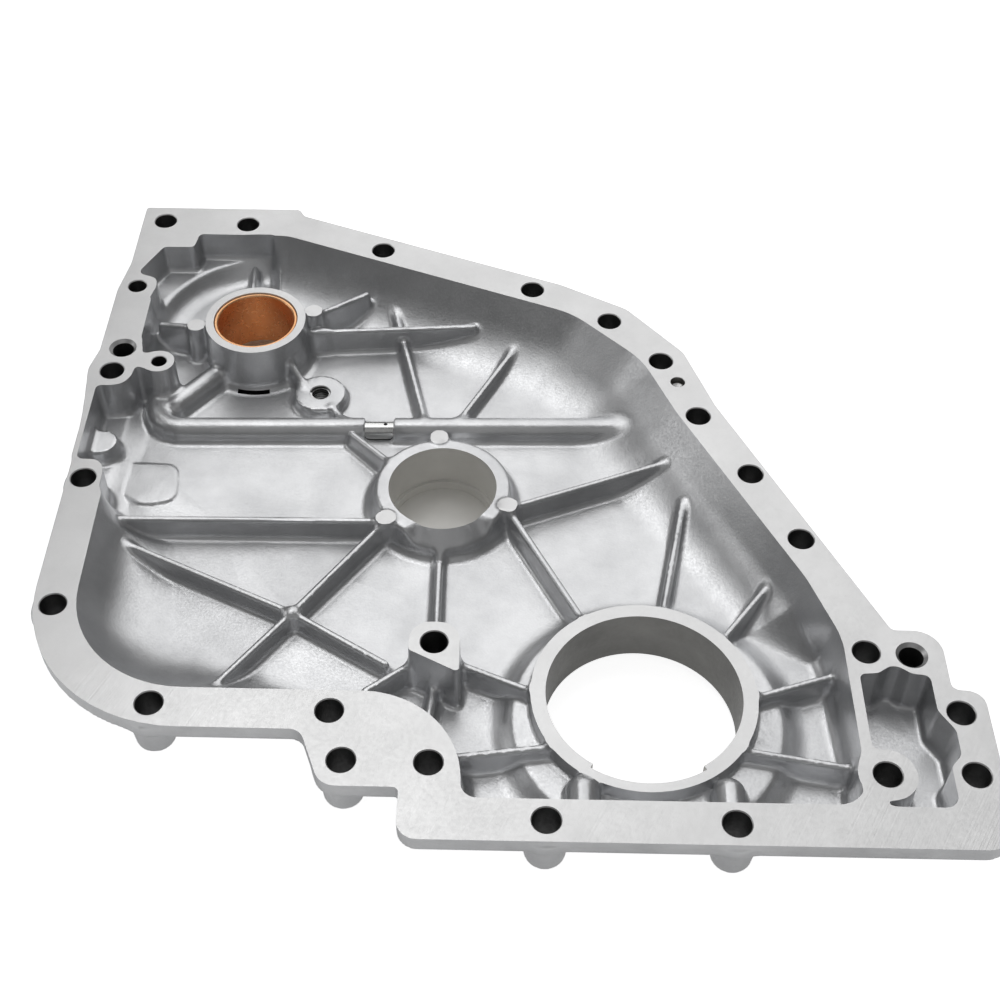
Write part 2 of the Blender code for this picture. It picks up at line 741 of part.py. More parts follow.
def add_rail(collection):
    """The cast oil rail in its two lengths, its bend into the left bay, and the duct from the bush."""
    top = height(RAIL_TOP_DEPTH)
    bottom = height(CAVITY_DEPTH) - RIB_ROOT
    ends = (("rail_left", RAIL_START[0], RAIL_GAP[0]), ("rail_right", RAIL_GAP[1], RAIL_END[0]))
    for name, start, end in ends:
        round_top_bar(name, rail_place(start), rail_place(end), RAIL_RADIUS, top, bottom, collection)
    round_top_bar("rail_bend", RAIL_START, RAIL_BEND_END, RAIL_RADIUS, top, bottom, collection)
    ball("rail_knuckle", RAIL_START, RAIL_RADIUS, top - RAIL_RADIUS, collection)
    start, end = plan_place(DUCT_START), plan_place(DUCT_END)
    round_top_bar("duct", start, end, DUCT_RADIUS, height(DUCT_TOP_DEPTH), bottom, collection)


def add_columns(collection):
    """Bolt lobes and columns that stand in the cavity up to the gasket face."""
    over = height(-CORE_OVERRUN - CUT_OVERRUN)
    bottom = height(CAVITY_DEPTH) - RIB_ROOT
    lobes = (
        (SMALL_BOLT, SMALL_LOBE_RADIUS),
        (CORNER_BOLT, CORNER_LOBE_RADIUS),
        (ISLAND_BOLT, ISLAND_LOBE_RADIUS),
        (LOBE_BOLT, LOBE_RADIUS),
    )
    for index, (place, radius) in enumerate(lobes):
        cone("lobe_%d" % (index + 1), place, bottom, over, radius + PAD_DRAFT, radius, collection, 24)
    outline_plate("corner_web", CORNER_WEB, bottom, over, collection)
    corners = [(x + COLUMN_AXIS[0], y + COLUMN_AXIS[1], radius) for x, y, radius in COLUMN_CORNERS]
    outline_plate("column", corners, bottom, over, collection)
    outline_plate("half_pad", HALF_PAD, bottom, height(HALF_PAD_DEPTH), collection)
    boss = THREAD_BOSS_DIAMETER / 2
    top = height(THREAD_BOSS_DEPTH)
    cone("thread_boss", THREAD_BOSS_AXIS, bottom, top, boss + PAD_DRAFT, boss, collection)
    for index, (x, y) in enumerate(SEAL_BOSSES):
        end = (x, y - SEAL_BOSS_LENGTH)
        name = "seal_boss_%d" % (index + 1)
        round_top_bar(name, (x, y), end, SEAL_BOSS_RADIUS, height(SEAL_BOSS_DEPTH), bottom, collection)


def add_machining(collection):
    """Cutters for the gasket face, the bores and the drilled holes."""
    over = height(-CORE_OVERRUN - 2 * CUT_OVERRUN)
    face = height(0.0)
    below = -CUT_OVERRUN
    corners = (
        (X_RANGE[0] - CORE_OVERRUN, Y_RANGE[1] + CORE_OVERRUN),
        (X_RANGE[1] + CORE_OVERRUN, Y_RANGE[1] + CORE_OVERRUN),
        (X_RANGE[1] + CORE_OVERRUN, Y_RANGE[0] - CORE_OVERRUN),
        (X_RANGE[0] - CORE_OVERRUN, Y_RANGE[0] - CORE_OVERRUN),
    )
    plate("facing_cut", corners, face, over + CUT_OVERRUN, collection)
    bush_seat = BUSH_INNER_DIAMETER + 2 * BUSH_WALL + 2 * FIT_GAP
    bores = (
        ("crank_bore", CRANK_AXIS, CRANK_BORE_DIAMETER, below, over),
        ("crank_seal_seat", CRANK_AXIS, CRANK_SEAL_DIAMETER, below, height(CRANK_BORE_END_DEPTH)),
        ("cam_bore", CAM_AXIS, CAM_BORE_DIAMETER, height(CAM_STEP_DEPTH), over),
        ("cam_step", CAM_AXIS, CAM_STEP_DIAMETER, height(CAM_BORE_END_DEPTH), face),
        ("bush_bore", BUSH_AXIS, bush_seat, height(BUSH_BORE_DEPTH), over),
    )
    for name, axis, diameter, low, high in bores:
        cone(name, axis, low, high, diameter / 2, diameter / 2, collection, BORE_STEPS)
    thread = THREAD_HOLE_DIAMETER / 2
    low = height(THREAD_BOSS_DEPTH + THREAD_HOLE_DEPTH)
    cone("thread_hole", THREAD_BOSS_AXIS, low, over, thread, thread, collection, BOLT_STEPS)
    add_scoop(collection)
    add_notch(collection)
    add_recesses(collection)
    tube = TUBE_DIAMETER / 2 + FIT_GAP
    start = rail_place(RAIL_GAP[0] - TUBE_SEAT - FIT_GAP)
    end = rail_place(RAIL_GAP[1] + TUBE_SEAT + FIT_GAP)
    axis_height = height(RAIL_TOP_DEPTH) - RAIL_RADIUS
    lying_cylinder("tube_bore", start, end, tube, axis_height, collection)
    add_holes(collection)


def add_recesses(collection):
    """The drain slot at the bush's foot, and the shallow recess beside the left bay."""
    floor = height(CAVITY_DEPTH)
    half_length, half_width = DRAIN_SLOT_SIZE[0] / 2, DRAIN_SLOT_SIZE[1] / 2
    x = BUSH_AXIS[0]
    y = BUSH_AXIS[1] - BUSH_RING_FOOT / 2
    slot = (
        (x - half_length, y + half_width, half_width / 2),
        (x + half_length, y + half_width, half_width / 2),
        (x + half_length, y - half_width, half_width / 2),
        (x - half_length, y - half_width, half_width / 2),
    )
    outline_plate("drain_slot", slot, floor - DRAIN_SLOT_DEPTH, floor + DRAIN_SLOT_HEIGHT, collection)
    bottom = floor - RECESS_DEPTH
    recess = outline_plate("roof_recess", RECESS_OUTLINE, bottom, floor + DRAIN_SLOT_HEIGHT, collection)
    roof_home = new_collection("roof")
    roof = hip_roof("roof", ROOF_CORNERS, ROOF_RIDGE, bottom, bottom + ROOF_HEIGHT, roof_home)
    boolean(recess, "DIFFERENCE", (roof,))


def add_scoop(collection):
    """Cutter that turns the near side of the middle ring into one slope from its bore to its foot."""
    inner = CAM_BORE_DIAMETER / 2 - CUT_OVERRUN
    outer = CAM_RING_FOOT / 2 + RAIL_RADIUS
    ring_top = height(CAM_RING_DEPTH - CAM_PAD_DROP)
    high = ring_top + CUT_OVERRUN
    first, last = CAM_SCOOP_ANGLES
    work = bmesh.new()
    sections = []
    for index in range(CAM_SCOOP_SPANS + 1):
        share = index / CAM_SCOOP_SPANS
        degrees = first + (last - first) * share
        fall = math.sqrt(math.sin(math.pi * share))
        corners = (
            (inner, ring_top - CAM_SCOOP_INNER_FALL * fall),
            (outer, ring_top - CAM_SCOOP_FALL * fall),
            (outer, high),
            (inner, high),
        )
        section = []
        for radius, z in corners:
            x, y = on_circle(CAM_AXIS, radius, degrees)
            section.append(work.verts.new(to_world(x, y, z)))
        sections.append(section)
    for before, after in zip(sections, sections[1:]):
        for index in range(len(before)):
            following = (index + 1) % len(before)
            work.faces.new((before[index], before[following], after[following], after[index]))
    work.faces.new(sections[0])
    work.faces.new(sections[-1])
    work.normal_update()
    bmesh.ops.recalc_face_normals(work, faces=work.faces)
    mesh = bpy.data.meshes.new("cam_scoop")
    work.to_mesh(mesh)
    work.free()
    add_object("cam_scoop", mesh, collection)


def add_notch(collection):
    """Shallow relief in the crank ring's inner edge, on the side of the sump."""
    half = math.asin(CRANK_NOTCH_WIDTH / 2 / CRANK_NOTCH_RADIUS)
    arc = circle_points(CRANK_AXIS, CRANK_NOTCH_RADIUS, 12, -math.pi / 2 - half, 2 * half)
    bottom = height(CRANK_RING_DEPTH + CRANK_NOTCH_DEPTH)
    top = height(CRANK_RING_DEPTH) + CUT_OVERRUN
    plate("crank_notch", arc + [Vector(CRANK_AXIS)], bottom, top, collection)


def add_holes(collection):
    """Bolt, dowel and locating holes."""
    over = height(-CORE_OVERRUN - 2 * CUT_OVERRUN)
    bolt = BOLT_HOLE_DIAMETER / 2
    for index, place in enumerate(FLANGE_BOLTS + (COLUMN_AXIS,)):
        cone("bolt_hole_%02d" % (index + 1), place, -CUT_OVERRUN, over, bolt, bolt, collection, BOLT_STEPS)
    small = SMALL_HOLE_DIAMETER / 2
    cone("small_hole", SMALL_BOLT, -CUT_OVERRUN, over, small, small, collection, BOLT_STEPS)
    lobe = LOBE_HOLE_DIAMETER / 2
    cone("lobe_hole", LOBE_BOLT, height(LOBE_HOLE_DEPTH), over, lobe, lobe, collection, BOLT_STEPS)
    dowel = DOWEL_DIAMETER / 2
    for name, place in (("left_dowel", LEFT_DOWEL), ("right_dowel", RIGHT_DOWEL)):
        cone(name, place, height(DOWEL_DEPTH), over, dowel, dowel, collection, BOLT_STEPS)
        low, high = height(2 * DOWEL_CHAMFER), height(-DOWEL_CHAMFER)
        narrow, wide = dowel - DOWEL_CHAMFER, dowel + 2 * DOWEL_CHAMFER
        cone(name + "_chamfer", place, low, high, narrow, wide, collection, BOLT_STEPS)
    locating = LOCATING_HOLE_DIAMETER / 2
    depth = height(LOCATING_HOLE_DEPTH)
    cone("locating_hole", LOCATING_HOLE, depth, over, locating, locating, collection, PAD_STEPS)


def make_casting(parts):
    """The casting: a flange plate that takes up its outer forms, then loses its core and its machining."""
    outer_forms = new_collection("outer_forms")
    core_bays = new_collection("core_bays")
    core_prints = new_collection("core_prints")
    machining = new_collection("cutters")
    add_outer_forms(outer_forms)
    add_core_bays(core_bays)
    add_rings(core_prints)
    add_ribs(core_prints)
    add_rail(core_prints)
    add_columns(core_prints)
    core = dish("core", 0.0, height(CAVITY_DEPTH), height(-CORE_OVERRUN), machining)
    machining.objects.unlink(core)
    core_home = new_collection("core")
    core_home.objects.link(core)
    boolean(core, "UNION", core_bays.objects)
    boolean(core, "DIFFERENCE", core_prints.objects)
    add_machining(machining)
    bottom = height(FLANGE_THICKNESS)
    casting = outline_plate(
        "cover_casting", FLANGE_OUTLINE, bottom, height(-MACHINING_STOCK), parts, helper=False
    )
    boolean(casting, "UNION", outer_forms.objects)
    boolean(casting, "DIFFERENCE", (core,))
    boolean(casting, "DIFFERENCE", machining.objects)
    casting.data.materials.append(material("cast_aluminium", CASTING_COLOUR, 0.45, 0.9))
    return casting


def make_bush(parts):
    """Bronze bush, pressed into its bore with chamfered ends."""
    inner = BUSH_INNER_DIAMETER / 2
    outer = inner + BUSH_WALL
    top = height(BUSH_SET_BACK)
    bottom = top - BUSH_LENGTH
    profile = (
        (outer - BUSH_CHAMFER, top),
        (outer, top - BUSH_CHAMFER),
        (outer, bottom + BUSH_CHAMFER),
        (outer - BUSH_CHAMFER, bottom),
        (inner, bottom),
        (inner, top),
    )
    bush = turned("drive_bush", BUSH_AXIS, profile, parts, helper=False)
    bush.data.materials.append(material("bronze", BRONZE_COLOUR, 0.3, 0.9))
    return bush


def make_tube(parts):
    """Steel tube that carries the oil across the gap in the rail."""
    start = rail_place(RAIL_GAP[0] - TUBE_SEAT)
    end = rail_place(RAIL_GAP[1] + TUBE_SEAT)
    axis_height = height(RAIL_TOP_DEPTH) - RAIL_RADIUS
    tube = lying_cylinder("oil_tube", start, end, TUBE_DIAMETER / 2, axis_height, parts, 24)
    tube.hide_render = False
    tube.display_type = "TEXTURED"
    tube.data.materials.append(material("steel", STEEL_COLOUR, 0.2, 1.0))
    return tube


def main():
    clear_scene()
    parts = new_collection("timing_cover")
    make_casting(parts)
    make_bush(parts)
    make_tube(parts)


main()
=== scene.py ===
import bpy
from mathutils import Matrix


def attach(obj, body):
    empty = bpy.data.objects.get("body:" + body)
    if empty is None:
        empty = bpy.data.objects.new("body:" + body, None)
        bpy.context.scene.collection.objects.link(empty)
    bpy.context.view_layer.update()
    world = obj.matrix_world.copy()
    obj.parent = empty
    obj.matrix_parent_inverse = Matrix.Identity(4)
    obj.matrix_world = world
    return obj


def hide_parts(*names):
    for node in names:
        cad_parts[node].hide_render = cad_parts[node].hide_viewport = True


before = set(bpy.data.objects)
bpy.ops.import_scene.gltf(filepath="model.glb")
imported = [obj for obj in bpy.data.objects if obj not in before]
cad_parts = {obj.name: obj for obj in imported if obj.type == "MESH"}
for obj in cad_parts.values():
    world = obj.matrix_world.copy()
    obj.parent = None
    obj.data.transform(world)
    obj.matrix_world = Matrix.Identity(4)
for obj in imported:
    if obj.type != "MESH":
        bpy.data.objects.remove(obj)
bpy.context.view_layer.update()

"""Dressed model of a cast aluminium timing cover, seen on its open side.

The casting is grown as a distance field, so that every rib, ring and column has its cast fillet, and is then
machined with cutters for its faces, bores and holes. All plan sizes are in millimetres from the crank axis.
"""

import logging
import math
from collections.abc import Sequence
from dataclasses import dataclass
from enum import Enum

import bmesh
import bpy
import numpy as np
from mathutils import Matrix, Vector

LOG = logging.getLogger("timing_cover")

MM = 0.001
ORIGIN = (-60.85, 111.35)
COVER_HEIGHT = 42.0
FLOOR_HEIGHT = 18.0
FLOOR_WALL = 5.5
FLANGE_BOTTOM = 34.0
FLANGE_EDGE = 1.0
FORM_ROOT = 3.0
STOCK = 1.0
RAW_TOP = COVER_HEIGHT + 2.0 * STOCK
CRANK_FACE = 30.0
THREAD_TOP = 24.0
CUT_LOW = -2.0
CUT_HIGH = COVER_HEIGHT + 9.0
GRID_LOW = (-259.37, -80.41, -3.3)
GRID_HIGH = (138.0, 303.0, 46.0)
FAR = 40.0

Place = tuple[float, float]


class Surface(Enum):
    """Kinds of surface on the casting. The value is the material slot."""

    CAST = 0
    MILLED = 1
    TURNED = 2
    # Drilled surfaces take the near-black material, which is painted shade for the inside of the holes.
    DRILLED = 3
    SEAL = 4


class Station(Enum):
    """Plan places that other features are set out from."""

    CRANK = (0.0, 0.0)
    MIDDLE = (-85.2, 111.7)
    DRIVE = (-179.8, 209.5)
    COLUMN = (-84.6, 15.0)
    THREAD = (-146.7, 177.8)
    LOBE = (-221.7, 178.2)

    def at(self, radius: float, degrees: float) -> Place:
        """Place at a radius and angle from the station.

        Args:
            radius: Distance from the station.
            degrees: Angle, counter-clockwise from the right.

        Returns:
            The plan place.
        """
        angle = math.radians(degrees)
        return self.value[0] + radius * math.cos(angle), self.value[1] + radius * math.sin(angle)


FLANGE_BOLTS: tuple[Place, ...] = (
    (-235.7, 285.9), (-192.7, 284.3), (-121.3, 265.0), (-45.2, 236.1), (-7.7, 213.3), (15.9, 185.1),
    (31.0, 148.1), (51.6, 111.9), (69.6, 73.9), (88.7, 14.1), (121.5, -14.7), (88.6, -43.4),
    (122.2, -42.9), (-242.6, 171.1), (-242.5, 101.7), (-240.9, 30.4), (-193.8, -17.4), (-123.7, -19.3),
    (-117.3, -41.7), (-84.3, -42.0), (-40.0, -65.9), (30.0, -65.9),
)
BOLT_DIAMETER = 11.0
SMALL_BOLT: Place = (-241.3, 233.0)
DOWELS: tuple[Place, ...] = ((-240.3, 187.1), (106.8, 13.0))
LOCATING_HOLE: Place = (23.0, 170.7)
NOTCH_RADIUS = 41.6
NOTCH_WIDTH = 45.0
STOCK_SQUARE = ((-262.0, 306.0), (141.0, 306.0), (141.0, -84.0), (-262.0, -84.0))
FLANGE_OUTLINE = (
    (-247.3, 297.1, 1.5), (-167.3, 297.6, 2.0), (-164.2, 292.2, 3.0), (-31.0, 240.3, 30.0),
    (1.0, 222.6, 14.0), (27.0, 191.5, 12.0), (39.6, 154.9, 15.0), (100.7, 25.5, 3.0), (120.0, 25.5, 11.0),
    (120.0, -3.4, 3.0), (132.4, -4.6, 7.0), (132.4, -74.9, 12.0), (-95.1, -74.9, 8.0), (-95.1, -53.1, 2.0),
    (-124.6, -53.1, 9.0), (-134.1, -28.2, 6.0), (-249.7, -27.9, 68.0), (-249.7, 133.1, 20.0),
    (-254.1, 172.1, 10.0), (-251.1, 185.1, 6.0), (-250.7, 230.1, 20.0), (-247.5, 251.1, 10.0),
)
CAVITY_OUTLINE = (
    (-233.0, 275.4, 52.0, 12.0, 0.05), (-171.4, 275.4, 20.0, 14.0, 0.5), (-25.9, 218.7, 42.0, 14.0, 1.0),
    (6.7, 186.1, 45.0, 14.0, 1.0), (21.2, 150.1, 25.0, 14.0, 1.0), (69.2, 52.1, 60.0, 14.0, 0.6),
    (80.0, 21.1, 40.0, 6.0, 0.15), (80.0, -56.9, 12.0, 4.0, 0.03), (-71.8, -56.9, 6.0, 4.0, 0.03),
    (-72.9, -9.6, 40.0, 6.0, 0.1), (-231.8, -9.6, 50.0, 16.0, 0.75), (-232.9, 84.0, 0.0, 14.0, 0.6),
    (-232.9, 103.0, 0.0, 5.0, 0.0),
)
TOP_BAY = (
    (-216.1, 275.2, 2.0), (-180.0, 275.2, 0.0), (-178.0, 262.0, 0.0), (-222.0, 228.0, 0.0),
    (-232.7, 225.0, 0.0), (-232.7, 239.1, 3.0), (-241.3, 240.6, 3.0), (-241.3, 246.1, 4.0),
    (-232.8, 264.2, 2.0), (-217.6, 264.4, 2.6),
)
LEFT_BAY = (
    (-247.6, 170.0, 0.0), (-228.0, 176.0, 0.0), (-224.0, 98.0, 0.0), (-232.3, 98.0, 0.0),
    (-232.3, 113.6, 10.0), (-247.6, 113.6, 2.5),
)
OIL_POCKET = (
    (84.9, 2.8, 2.0), (92.2, 3.3, 3.0), (98.7, 7.9, 5.0), (105.2, 3.3, 3.0), (112.0, 2.6, 2.5),
    (112.0, -13.9, 5.0), (117.5, -22.9, 4.0), (117.5, -33.9, 4.0), (112.9, -39.4, 4.0),
    (112.9, -56.9, 5.0), (84.9, -56.9, 5.0),
)
BAYS = ((TOP_BAY, 26.5, 2.2), (LEFT_BAY, 22.4, 6.0), (OIL_POCKET, 20.0, 2.2))
BAY_WALL = 2.1
BAY_BACK_EDGE = 2.5
BAY_FOOT = 2.6
BAY_DRAFT = 0.02
CORNER_WEB = (
    (-252.0, 195.0, 0.0), (-232.9, 194.0, 3.0), (-230.3, 183.6, 2.0), (-221.7, 183.5, 0.0),
    (-221.7, 173.5, 0.0), (-233.0, 174.2, 2.0), (-236.0, 163.5, 4.0), (-252.0, 160.7, 0.0),
)
HALF_PAD = ((-252.0, 143.8, 0.0), (-235.9, 143.8, 7.2), (-235.9, 128.8, 7.2), (-252.0, 128.8, 0.0))
COLUMN_OUTLINE = ((-94.8, 25.2, 9.0), (-74.4, 25.2, 9.0), (-74.4, 0.2, 1.0), (-94.8, 11.0, 1.0))
LOW_PAD = (
    (-230.5, 133.5, 0.6), (-208.5, 133.0, 7.0), (-206.0, 110.5, 7.0), (-222.0, 107.0, 10.0),
    (-230.5, 113.0, 0.6),
)
LOW_PAD_HEIGHT = 19.1
UPRIGHTS = (
    (LOW_PAD, LOW_PAD_HEIGHT, 0.3, 0.4), (CORNER_WEB, RAW_TOP, 0.2, 2.6), (COLUMN_OUTLINE, RAW_TOP, 0.2, 2.6),
    (HALF_PAD, 29.8, 0.8, 3.0),
)
RIB_HALF_WIDTH = 1.6
RIB_DRAFT = 0.07
RIB_CROSS: Place = (-145.8, 41.0)
RIBS: tuple[tuple[Place, Place, float, float], ...] = (
    (Station.DRIVE.at(20.2, 180.0), (-228.0, 215.8), 5.0, 9.0),
    (Station.DRIVE.at(20.8, 18.2), (-128.5, 241.9), 6.0, 9.0),
    (Station.DRIVE.at(23.5, 106.6), (-188.8, 268.0), 13.0, 15.0),
    (Station.DRIVE.at(21.9, 6.5), (-147.2, 215.2), 9.0, 11.0),
    ((-150.5, 214.6), (-74.0, 221.0), 11.0, 11.0),
    (Station.DRIVE.at(21.9, -43.0), Station.THREAD.at(8.4, 150.0), 9.0, 18.0),
    ((-117.0, 250.0), (-95.5, 159.0), 17.0, 17.0),
    ((-52.0, 214.5), (-80.0, 159.0), 17.0, 17.0),
    (Station.THREAD.at(11.9, -55.6), (-131.0, 157.0), 18.0, 18.0),
    ((-129.0, 148.0), Station.MIDDLE.at(28.3, 147.3), 15.0, 13.0),
    (Station.MIDDLE.at(29.6, -23.3), (16.0, 131.0), 13.0, 13.0),
    (Station.MIDDLE.at(32.8, -22.8), Station.CRANK.at(42.4, 121.9), 13.0, 13.0),
    (Station.MIDDLE.at(32.1, 217.8), (-226.0, 90.5), 13.0, 13.0),
    (Station.MIDDLE.at(30.3, 218.2), RIB_CROSS, 13.0, 15.0),
    (RIB_CROSS, (-176.0, -1.0), 15.0, 15.0),
    ((-221.0, 77.1), RIB_CROSS, 15.0, 15.0),
    (RIB_CROSS, (-105.0, 16.0), 15.0, 16.0),
    (Station.MIDDLE.at(26.7, -90.0), Station.COLUMN.at(7.0, 93.0), 17.0, 16.0),
    (Station.CRANK.at(44.1, 76.9), (23.0, 109.1), 14.0, 16.0),
    (Station.CRANK.at(45.3, 41.4), (61.5, 67.0), 14.0, 14.0),
    (Station.CRANK.at(43.0, 0.0), (82.0, 13.6), 13.0, 13.0),
    (Station.CRANK.at(46.3, -32.7), (83.0, -32.7), 13.0, 13.0),
    (Station.CRANK.at(42.0, 179.6), Station.COLUMN.at(8.6, 0.0), 13.0, 13.0),
    (Station.CRANK.at(45.5, 213.3), (-76.0, -30.5), 13.0, 13.0),
    (Station.COLUMN.at(5.6, 164.5), (-112.0, -0.6), 12.0, 12.0),
    (Station.COLUMN.at(7.0, -85.9), (-86.1, -9.0), 16.0, 16.0),
)


def height(depth: float) -> float:
    """Height above the floor of a depth below the gasket face."""
    return COVER_HEIGHT - depth


def rail_place(x: float) -> Place:
    """Plan place on the oil rail's axis at a given x."""
    return x, 154.0 + (x + 211.5) / 212.0 * 5.6


FIT_GAP = 0.3
RAIL_RADIUS = 6.2
RAIL_TOP = height(15.8)
RAIL_GAP = (-123.6, -110.2)
RAIL_END = 0.5
RAIL_BEND = ((-223.5, 168.0), (-222.0, 162.0), (-219.4, 158.0), (-215.5, 155.2), rail_place(-211.0))
SCOOP_START = 232.0
SCOOP_SWEEP = 95.0
SCOOP_INNER = 23.3
SCOOP_OUTER = 37.5
SCOOP_RUN = 16.9
SCOOP_TOP = 31.6
SCOOP_LIP = 2.2
SCOOP_DROP = 10.5
TUBE_RADIUS = 4.4
TUBE_HEIGHT = 20.0
TUBE_ENDS = (-130.6, -103.2)
DUCT = (Station.DRIVE.at(17.8, 222.0), Station.LOBE.at(11.2, -50.0))
DUCT_RADIUS = 6.0
DUCT_TOP = 27.0
SEAL_BOSS_PLACES = (-25.6, 30.5)
SEAL_BOSS_ENDS = (-44.0, -63.5)
SEAL_BOSS_RADIUS = 6.6
SEAL_BOSS_TOP = height(9.0)
SEAL_BOSS_FILLET = 2.0
DRAIN_RADII = (23.6, 28.4)
DRAIN_SWEEP = (252.0, 288.0)
DRAIN_HEIGHTS = (15.0, 19.6)
NOTCH_HEIGHTS = (25.0, 31.5)


@dataclass(frozen=True)
class OuterBoss:
    """Tapered boss on the back. Its radius is at its tip."""

    place: Place
    bottom: float = 0.0
    radius: float = 7.9
    draft: float = 0.085
    edge: float = 1.2
    top: float = FLANGE_BOTTOM + 4.0


@dataclass(frozen=True)
class RoundForm:
    """Round form on the cavity's floor, with its radii at the top and at the floor."""

    place: Place
    crown: float
    foot: float
    top: float
    edge: float = 0.2
    fillet: float = 3.0


@dataclass(frozen=True)
class RoundCut:
    """Round cut, straight unless it has a crown radius for its upper end."""

    place: Place
    radius: float
    surface: Surface
    low: float = CUT_LOW
    high: float = CUT_HIGH
    steps: int = 48
    crown: float = 0.0


OUTER_BOSSES = (
    *(OuterBoss(place, 19.3) for place in FLANGE_BOLTS + (SMALL_BOLT,)),
    *(OuterBoss(place, 25.0) for place in DOWELS),
    OuterBoss(Station.COLUMN.value, draft=0.042),
    OuterBoss(Station.CRANK.value, radius=51.0, draft=0.13, top=FLOOR_HEIGHT - 2.0),
    OuterBoss(Station.MIDDLE.value, radius=30.0, draft=0.13, top=FLOOR_HEIGHT - 2.0),
    OuterBoss(Station.DRIVE.value, radius=28.0, draft=0.13, top=FLOOR_HEIGHT - 2.0),
)
MIDDLE_PADS = tuple(Station.MIDDLE.at(31.3, degrees) for degrees in (-20.0, 95.0, 219.0))
DRIVE_PADS = tuple(Station.DRIVE.at(29.4, degrees) for degrees in (24.2, 180.6))
RINGS = (
    RoundForm((1.5, -7.5), 55.0, 63.0, 23.0, 1.6, 4.0),
    RoundForm(Station.CRANK.value, 45.6, 46.4, CRANK_FACE + STOCK, fillet=1.0),
    RoundForm(Station.DRIVE.value, 24.1, 25.5, RAW_TOP, fillet=5.0),
    RoundForm(Station.MIDDLE.value, 30.5, 34.0, 30.0, 1.6, 4.0),
    *(RoundForm(place, 4.3, 5.1, 31.4, fillet=1.6) for place in MIDDLE_PADS),
    *(RoundForm(place, 4.3, 5.1, 38.8, fillet=2.0) for place in DRIVE_PADS),
)
COLUMNS = (
    RoundForm(SMALL_BOLT, 8.7, 9.5, RAW_TOP),
    RoundForm((-242.6, 171.1), 9.7, 10.5, RAW_TOP),
    RoundForm((88.6, -43.4), 11.2, 12.0, RAW_TOP),
    RoundForm(Station.LOBE.value, 7.2, 8.0, RAW_TOP),
    RoundForm(Station.THREAD.value, 12.2, 13.0, THREAD_TOP, 0.9),
)
SPOT_FACES = (
    RoundCut(Station.CRANK.value, 46.1, Surface.MILLED, low=CRANK_FACE, steps=160),
    *(RoundCut(place, 4.9, Surface.MILLED, low=30.6, steps=40) for place in MIDDLE_PADS),
    *(RoundCut(place, 4.6, Surface.MILLED, low=38.0, steps=40) for place in DRIVE_PADS),
)
BORES = (
    RoundCut(Station.CRANK.value, 39.6, Surface.SEAL, steps=160),
    RoundCut(Station.MIDDLE.value, 24.3, Surface.TURNED, low=9.0, steps=128),
    RoundCut(Station.DRIVE.value, 20.3, Surface.TURNED, low=9.0, steps=128),
    RoundCut(Station.THREAD.value, 4.7, Surface.DRILLED, low=15.0),
    RoundCut(Station.LOBE.value, 3.5, Surface.DRILLED, low=20.0),
    RoundCut(SMALL_BOLT, 4.4, Surface.DRILLED),
    RoundCut(LOCATING_HOLE, 3.3, Surface.SEAL, low=39.0, steps=40),
    *(RoundCut(place, 5.0, Surface.DRILLED, low=30.0) for place in DOWELS),
)
BORE_STEPS = (
    RoundCut(Station.CRANK.value, 44.0, Surface.SEAL, high=4.5, steps=160),
    RoundCut(Station.MIDDLE.value, 22.8, Surface.TURNED, low=4.5, steps=128),
)
HOLE_MOUTHS = (
    *(
        RoundCut(place, 5.0, Surface.MILLED, COVER_HEIGHT - 0.9, COVER_HEIGHT + 0.5, crown=6.4)
        for place in FLANGE_BOLTS + (Station.COLUMN.value,)
    ),
    RoundCut(SMALL_BOLT, 3.9, Surface.MILLED, COVER_HEIGHT - 0.9, COVER_HEIGHT + 0.5, crown=5.3),
    RoundCut(Station.LOBE.value, 3.1, Surface.MILLED, COVER_HEIGHT - 0.7, COVER_HEIGHT + 0.5, crown=4.3),
    *(
        RoundCut(place, 3.5, Surface.MILLED, COVER_HEIGHT - 3.0, COVER_HEIGHT + 1.5, crown=8.0)
        for place in DOWELS
    ),
    RoundCut(Station.THREAD.value, 3.9, Surface.MILLED, THREAD_TOP - 1.2, THREAD_TOP + 1.0, crown=6.1),
    RoundCut(LOCATING_HOLE, 0.4, Surface.MILLED, 37.4, 39.5, 40, 3.2),
    RoundCut(LOCATING_HOLE, 3.1, Surface.MILLED, COVER_HEIGHT - 0.4, COVER_HEIGHT + 0.5, 40, 4.0),
)


